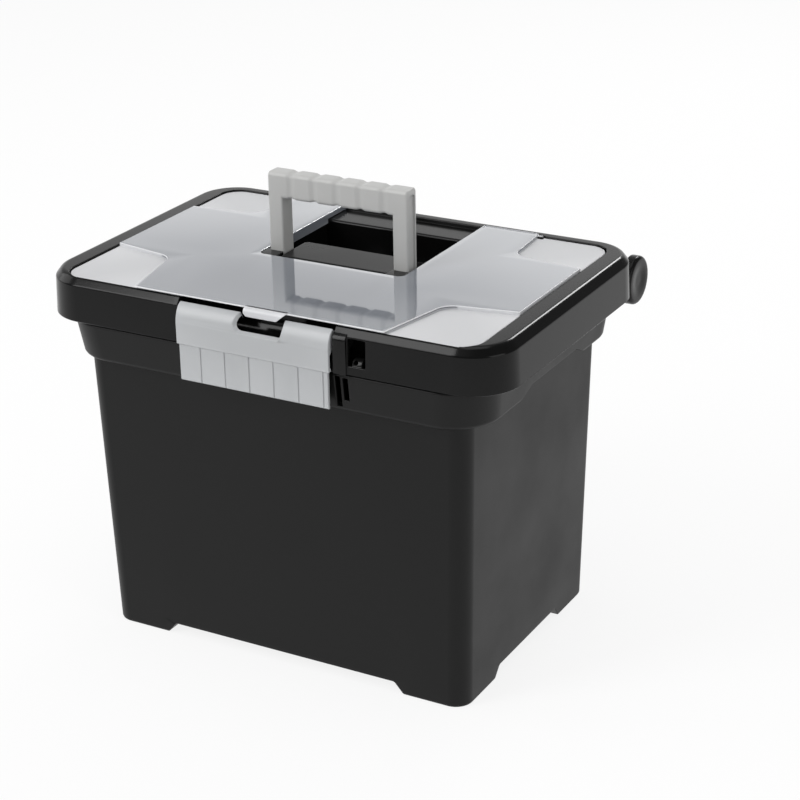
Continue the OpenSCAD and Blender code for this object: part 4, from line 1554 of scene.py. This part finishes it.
    def bins(self) -> list[Solid]:
        """Draws the organiser's three compartments."""
        front, back = self.tray_y[0] + self.wall, self.tray_y[1] - self.wall
        x0, x1 = self.well_x + self.divider, self.tray_x - self.wall
        top = self.rim_z + OVER

        def bin_at(low: Point2, high: Point2) -> Solid:
            """Draws one compartment between two corners, with an eased floor."""
            half = ((high[0] - low[0]) / 2, (high[1] - low[1]) / 2)
            middle = (low[0] + half[0], low[1] + half[1])
            rings = []
            for inset, z in (*self.bin_ease, (0.0, top - self.tray_z)):
                outline = round_rect(half[0] - inset, half[1] - inset, self.bin_r - inset, middle,
                                     COARSE)
                rings.append(ring_at(Along.Z, outline, self.tray_z + z))
            return loft("bin", rings)

        return [
            *both_ends(bin_at((x0, front), (x1, back))),
            bin_at((-self.well_x, front), (self.well_x, self.well_front - self.wall)),
        ]

    def well(self) -> Solid:
        """Draws the well that the handle folds into, eased where the ledge behind it begins."""
        top, r = self.rim_z + OVER, self.ledge_ease
        ease = arc((self.well_back + r, self.recess_z - r), r, 180, 90, COARSE)
        outline = [
            (self.deck_y, top), (self.deck_y, self.well_z), (self.well_back, self.well_z), *ease,
            (self.well_back + r, top),
        ]
        return prism("well", Along.X, outline, -self.well_x, self.well_x)

    def under_hollows(self) -> list[Solid]:
        """Draws the hollows under the ledge behind the well and under the deck before it."""
        wall = self.wall
        low, high = self.tray_z - wall - OVER, self.recess_z - wall
        return [
            block("under", (-self.well_x, self.well_back + wall, low),
                  (self.well_x, self.tray_y[1] - wall, high)),
            block("under", (wall - self.well_x, self.well_front, low),
                  (self.well_x - wall, self.deck_y - wall, high)),
        ]

    def platform(self, inset: float) -> list[Point2]:
        """Gives the platform's outline with its cut corners, drawn in by a margin."""
        x, cut = self.platform_x - inset, self.platform_cut
        y0, y1 = self.platform_y[0] + inset, self.platform_y[1] - inset
        return [
            (cut / 2 - x, y0), (x - cut / 2, y0), (x, y0 + cut / 2), (x, y1 - cut), (x - cut, y1),
            (cut - x, y1), (-x, y1 - cut), (-x, y0 + cut / 2),
        ]

    def lug_beside_latch(self, radius: float) -> Solid:
        """Builds the lug beside the latch, on the right, with a radius about its pivot."""
        y, z = self.latch.pivot
        span = (self.pocket_x, self.pocket_x + self.lug_w)
        lug = rod("lug", span, (y, z), radius, 72)
        root = block("root", (span[0], y - radius, self.base_z), (span[1], y, z))
        return combine(lug, [root], Join.ADD)

    def hinge_cuts(self) -> list[Solid]:
        """Draws the room for the tub's lug, the pin's bead and the pin's head, on the right."""
        (y, z), hinge = self.hinge.axis, self.hinge
        x0, x1 = hinge.bead[0] - hinge.room, hinge.lug[1] + hinge.room / 2
        r = hinge.knuckle_r + hinge.room
        return [
            rod("cut", (x0, x1), (y, z), r),
            block("cut", (x0, y - r, self.base_z - OVER), (x1, y + 20, z)),
            rod("cut", (hinge.knuckle[1], self.half[0] + OVER), (y, z),
                hinge.head_r + hinge.room, 96),
        ]

    def bores(self) -> list[Solid]:
        """Draws the bores on the right for the pin, the latch, the handle and the cover."""
        hinge, latch, handle = self.hinge, self.latch, self.handle
        bores = (
            (hinge.knuckle, hinge.axis, hinge.pin_r, 64),
            ((self.pocket_x, self.pocket_x + self.lug_w), latch.pivot, latch.pin_r, 32),
            ((self.platform_x - self.wall, self.platform_x), handle.pivot, handle.pin_r, 32),
            (self.boss[:2], self.bar[:2], self.cover.stub[1], 24),
        )
        return [
            rod("bore", (span[0] - OVER, span[1] + OVER), axis, r + FIT, steps)
            for span, axis, r, steps in bores
        ]

    def planes(self) -> list[Plane]:
        """Gives the planes just past the latch's pocket, the window, the well and the hinges."""
        apart = 3.0
        planes = [(Along.Y, self.well_front - apart), (Along.Y, self.well_back + 2 * apart)]
        for place in (self.pocket_x + self.lug_w / 2, self.window[1] + apart,
                      self.hinge.bead[0] - 2 * apart):
            planes += [(Along.X, place), (Along.X, -place)]
        return planes

    def front_cuts(self) -> list[Solid]:
        """Draws the latch's pocket and the window beside it."""
        front = self.latch.pivot[0] - self.latch.radius - OVER
        x0, x1, z0, z1 = self.window
        middle = ((x0 + x1) / 2, (z0 + z1) / 2)
        outline = round_rect((x1 - x0) / 2, (z1 - z0) / 2, self.window_r, middle, COARSE)
        half, high = self.pocket_x, self.rim_z + self.wall
        return [
            rod("pocket", (-half, half), self.latch.pivot, self.pocket_r, 96),
            block("pocket", (-half, front, self.latch.pivot[1]), (half, self.tray_y[0], high)),
            prism("window", Along.Y, outline, front, self.tray_y[0] - 0.3),
        ]

    def eye_in_window(self) -> Solid:
        """Builds the small bored eye in the window."""
        x0, x1, out, r = self.eye
        inset, hole_r = self.eye_hole
        back, z = self.tray_y[0], self.window[2]
        outline = circle((x0 + inset, z + inset), hole_r, 16)
        hole = prism("hole", Along.Y, outline, -self.half[1] - 2 * self.wall, back)
        return combine(rod("eye", (x0, x1), (back - r - out, z), r), [hole], Join.CUT)

    def deck(self) -> list[Solid]:
        """Builds the deck before the well, and the ear at each end that the cover passes."""
        x, front, back, r = self.deck_x, self.deck_front, self.deck_y, self.deck_r
        inner = self.platform_x + self.ear_gap
        deck = rounded([(-x, back), (-x, front), (x, front), (x, back)], [0, r, r, 0])
        ear = rounded([(inner, back), (inner, front), (x, front), (x, back)], [0, 0, r, 0])
        return [
            prism("deck", Along.Z, deck, self.recess_z - SKIN, self.deck_z),
            *both_ends(prism("ear", Along.Z, ear, self.recess_z, self.ear_z)),
        ]

    def build(self) -> None:
        """Makes, dresses and places the lid and the etched plate on its platform."""
        wall, (over, thick) = self.wall, self.plate
        shell = combine(self.outside(), [self.inside()], Join.CUT)
        knuckle = rod("knuckle", self.hinge.knuckle, self.hinge.axis, self.hinge.knuckle_r)
        shell = combine(shell, [self.flange(), *self.tray(), *both_ends(knuckle)], Join.ADD)
        groove = rod("groove", (self.deck_x, self.boss[0]), self.bar[:2], self.bar[2], 40)
        shell = combine(shell, [
            self.recess(0.0, self.recess_z, self.rim_z + 1.5), *self.bins(), self.well(),
            *self.front_cuts(), *both_ends(*self.hinge_cuts(), groove),
        ], Join.CUT)
        stage = prism("stage", Along.Z, self.platform(over), self.well_z - wall,
                      self.platform_z - over)
        left_lug = self.lug_beside_latch(self.left_lug_r)
        flip(left_lug.data)
        x0, x1, y0, y1 = self.boss
        bosses = both_ends(block("boss", (x0, y0, self.recess_z - wall), (x1, y1, self.rim_z)))
        shell = combine(shell, [
            *self.deck(), stage, self.lug_beside_latch(self.lug_r), left_lug, *bosses,
            self.eye_in_window(),
        ], Join.ADD)
        under = prism("under", Along.Z, self.platform(wall), self.well_z - wall - OVER,
                      self.platform_z - wall)
        bores = both_ends(*self.bores())
        shell = combine(shell, [*self.under_hollows(), under, *bores], Join.CUT)
        soften(shell, self.soft[0], planes=self.planes())
        hand_in(shell, LID_BLACK, "lid", "lid_black", "lid")
        plate = prism("handle_platform", Along.Z, self.platform(0), self.platform_z - thick,
                      self.platform_z)
        soften(plate, self.soft[1])
        hand_in(plate, PLATFORM_BLACK, "lid", "lid_black")


@dataclass
class Studio:
    """The white floor, the soft lights and the camera."""

    camera_at: Point3 = (0.7692, -1.3032, 0.8152)
    azimuth: float = 29.17
    elevation: float = 23.04
    roll: float = -1.03
    lens: float = 96.14
    sensor: float = 36.0
    clip: Point2 = (0.05, 100.0)
    # Where the lamps point
    aim: Point3 = (0.0, 0.0, 0.2)
    floor_colour: str = "#f4f4f4"
    floor_half_mm: float = 40000.0
    ambient: float = 0.5
    # Way in which the white that gloss sees falls off, and where along it, from low to high
    fall_way: Point3 = (-0.24, 0.0, 1.0)
    fall: Point2 = (0.41, 0.475)
    fall_light: Point2 = (1.1, 0.6)
    # Ways to the backdrop and to the bright ceiling, and how near each white starts and is full
    white_ways: tuple[tuple[Point3, Point2], ...] = (
        ((-0.75, 0.62, 0.2), (0.45, 0.75)), ((-0.45, -0.1, 0.88), (0.6, 0.85)),
    )
    dim: float = 0.2
    # Share of plain white in the floor as it is seen, which leaves the object a faint shadow
    floor_white: float = 0.85
    # Each lamp: name, place, size across, size up, and power in watts
    lamps: tuple[tuple[str, Point3, float, float, float], ...] = (
        ("key_softbox", (-1.85, -2.6, 2.3), 1.3, 2.6, 64.0),
        ("overhead_softbox", (0.1, -0.1, 2.8), 1.8, 1.8, 14.0),
        ("rim_strip", (0.0, 2.1, 1.55), 0.5, 0.6, 12.0),
        ("right_softbox", (2.3, -0.4, 1.0), 1.4, 1.4, 10.0),
        ("left_softbox", (-2.7, -0.4, 1.4), 1.5, 1.5, 12.0),
    )

    def camera(self) -> None:
        """Places the camera where the photograph was taken from."""
        data = bpy.data.cameras.new("camera")
        data.lens, data.sensor_width = self.lens, self.sensor
        data.clip_start, data.clip_end = self.clip
        camera = add_object("camera", data)
        a, e = math.radians(self.azimuth), math.radians(self.elevation)
        look = Vector((-math.sin(a) * math.cos(e), math.cos(a) * math.cos(e), -math.sin(e)))
        turn = look.to_track_quat("-Z", "Y").to_matrix().to_4x4()
        roll = Matrix.Rotation(math.radians(self.roll), 4, "Z")
        camera.matrix_world = Matrix.Translation(self.camera_at) @ turn @ roll
        bpy.context.scene.camera = camera

    def lights(self) -> None:
        """Hangs the soft lamps round the object."""
        for name, place, across, up, power in self.lamps:
            data = bpy.data.lights.new(name, "AREA")
            data.shape = "RECTANGLE"
            data.size, data.size_y, data.energy = across, up, power
            way = Vector(self.aim) - Vector(place)
            turn = way.to_track_quat("-Z", "Y").to_matrix().to_4x4()
            add_object(name, data).matrix_world = Matrix.Translation(place) @ turn

    def seen(self, tree: Tree) -> Socket:
        """Tells rays from the camera, from gloss and through clear plastic from the rest.

        Args:
            tree: The node tree that asks.

        Returns:
            A socket that is 1 for those rays and 0 for the rays that light the object.
        """
        path = add_node(tree, "ShaderNodeLightPath")
        shown = add_node(
            tree, "ShaderNodeMath", {"operation": "ADD"},
            {0: path.outputs["Is Camera Ray"], 1: path.outputs["Is Glossy Ray"]},
        )
        shown = add_node(
            tree, "ShaderNodeMath", {"operation": "ADD", "use_clamp": True},
            {0: shown.outputs[0], 1: path.outputs["Is Transmission Ray"]},
        )
        return shown.outputs[0]

    def toward(
        self, tree: Tree, way: Point3, near: Point2, light: Point2 = (0.0, 1.0)
    ) -> Socket:
        """Gives light that changes smoothly toward one way in the world.

        Args:
            tree: The world's node tree.
            way: The way.
            near: How near the way the change starts and ends, as cosines.
            light: The light before and after.

        Returns:
            The socket that gives the light.
        """
        nearness = add_node(
            tree, "ShaderNodeVectorMath", {"operation": "DOT_PRODUCT", 1: way},
            {0: add_node(tree, "ShaderNodeTexCoord").outputs["Generated"]},
        )
        return mapped(tree, nearness.outputs["Value"], near, light, "SMOOTHSTEP")

    def world(self) -> None:
        """Surrounds the object with white, which for gloss falls off above the backdrop."""
        world = bpy.data.worlds.new("white_studio")
        tree = fresh_tree(world)
        plain = mapped(tree, self.seen(tree), (0.0, 1.0), (self.ambient, 1.0))
        falling = self.toward(tree, self.fall_way, self.fall, self.fall_light)
        shares = [self.toward(tree, way, near) for way, near in self.white_ways]
        share = add_node(
            tree, "ShaderNodeMath", {"operation": "MAXIMUM"}, {0: shares[0], 1: shares[1]}
        )
        glossy = add_node(
            tree, "ShaderNodeMix", {"data_type": "FLOAT", 2: self.dim},
            {0: share.outputs[0], 3: falling},
        )
        strength = add_node(
            tree, "ShaderNodeMix", {"data_type": "FLOAT"},
            {
                0: add_node(tree, "ShaderNodeLightPath").outputs["Is Glossy Ray"],
                2: plain, 3: glossy.outputs[0],
            },
        )
        sky = add_node(
            tree, "ShaderNodeBackground", {"Color": WHITE},
            {"Strength": strength.outputs[0]},
        )
        add_node(tree, "ShaderNodeOutputWorld", links={"Surface": sky.outputs[0]})
        bpy.context.scene.world = world

    def floor(self) -> None:
        """Lays a wide white floor that keeps the object's shadow."""
        half = self.floor_half_mm
        corners = [(-half, -half, 0.0), (half, -half, 0.0), (half, half, 0.0), (-half, half, 0.0)]
        floor = new_piece("studio_floor", corners, [(0, 1, 2, 3)])
        paper = bpy.data.materials.new("white_paper_floor")
        tree = fresh_tree(paper)
        shader = add_node(
            tree, "ShaderNodeBsdfPrincipled",
            {"Base Color": linear(self.floor_colour), "Roughness": 0.9,
             "Specular IOR Level": 0.1},
        )
        white = add_node(tree, "ShaderNodeEmission", {"Color": WHITE})
        share = mapped(tree, self.seen(tree), (0.0, 1.0), (0.0, self.floor_white))
        mixed = add_node(
            tree, "ShaderNodeMixShader",
            links={0: share, 1: shader.outputs[0], 2: white.outputs[0]},
        )
        add_node(tree, "ShaderNodeOutputMaterial", links={"Surface": mixed.outputs[0]})
        floor.data.materials.append(paper)

    def build(self) -> None:
        """Sets up the whole studio."""
        self.camera()
        self.lights()
        self.world()
        self.floor()
        bpy.context.scene.view_settings.view_transform = "Standard"


def main() -> None:
    """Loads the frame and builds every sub-assembly in order."""
    logging.basicConfig(level=logging.INFO, format="%(name)s: %(message)s")
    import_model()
    Studio().build()
    hinge, latch, handle = RearHinge(), Latch(), Handle()
    cover = Cover(latch)
    for part in (hinge, Tub(hinge), Lid(hinge, latch, handle, cover), cover, handle, latch):
        part.build()


if __name__ == "__main__":
    main()
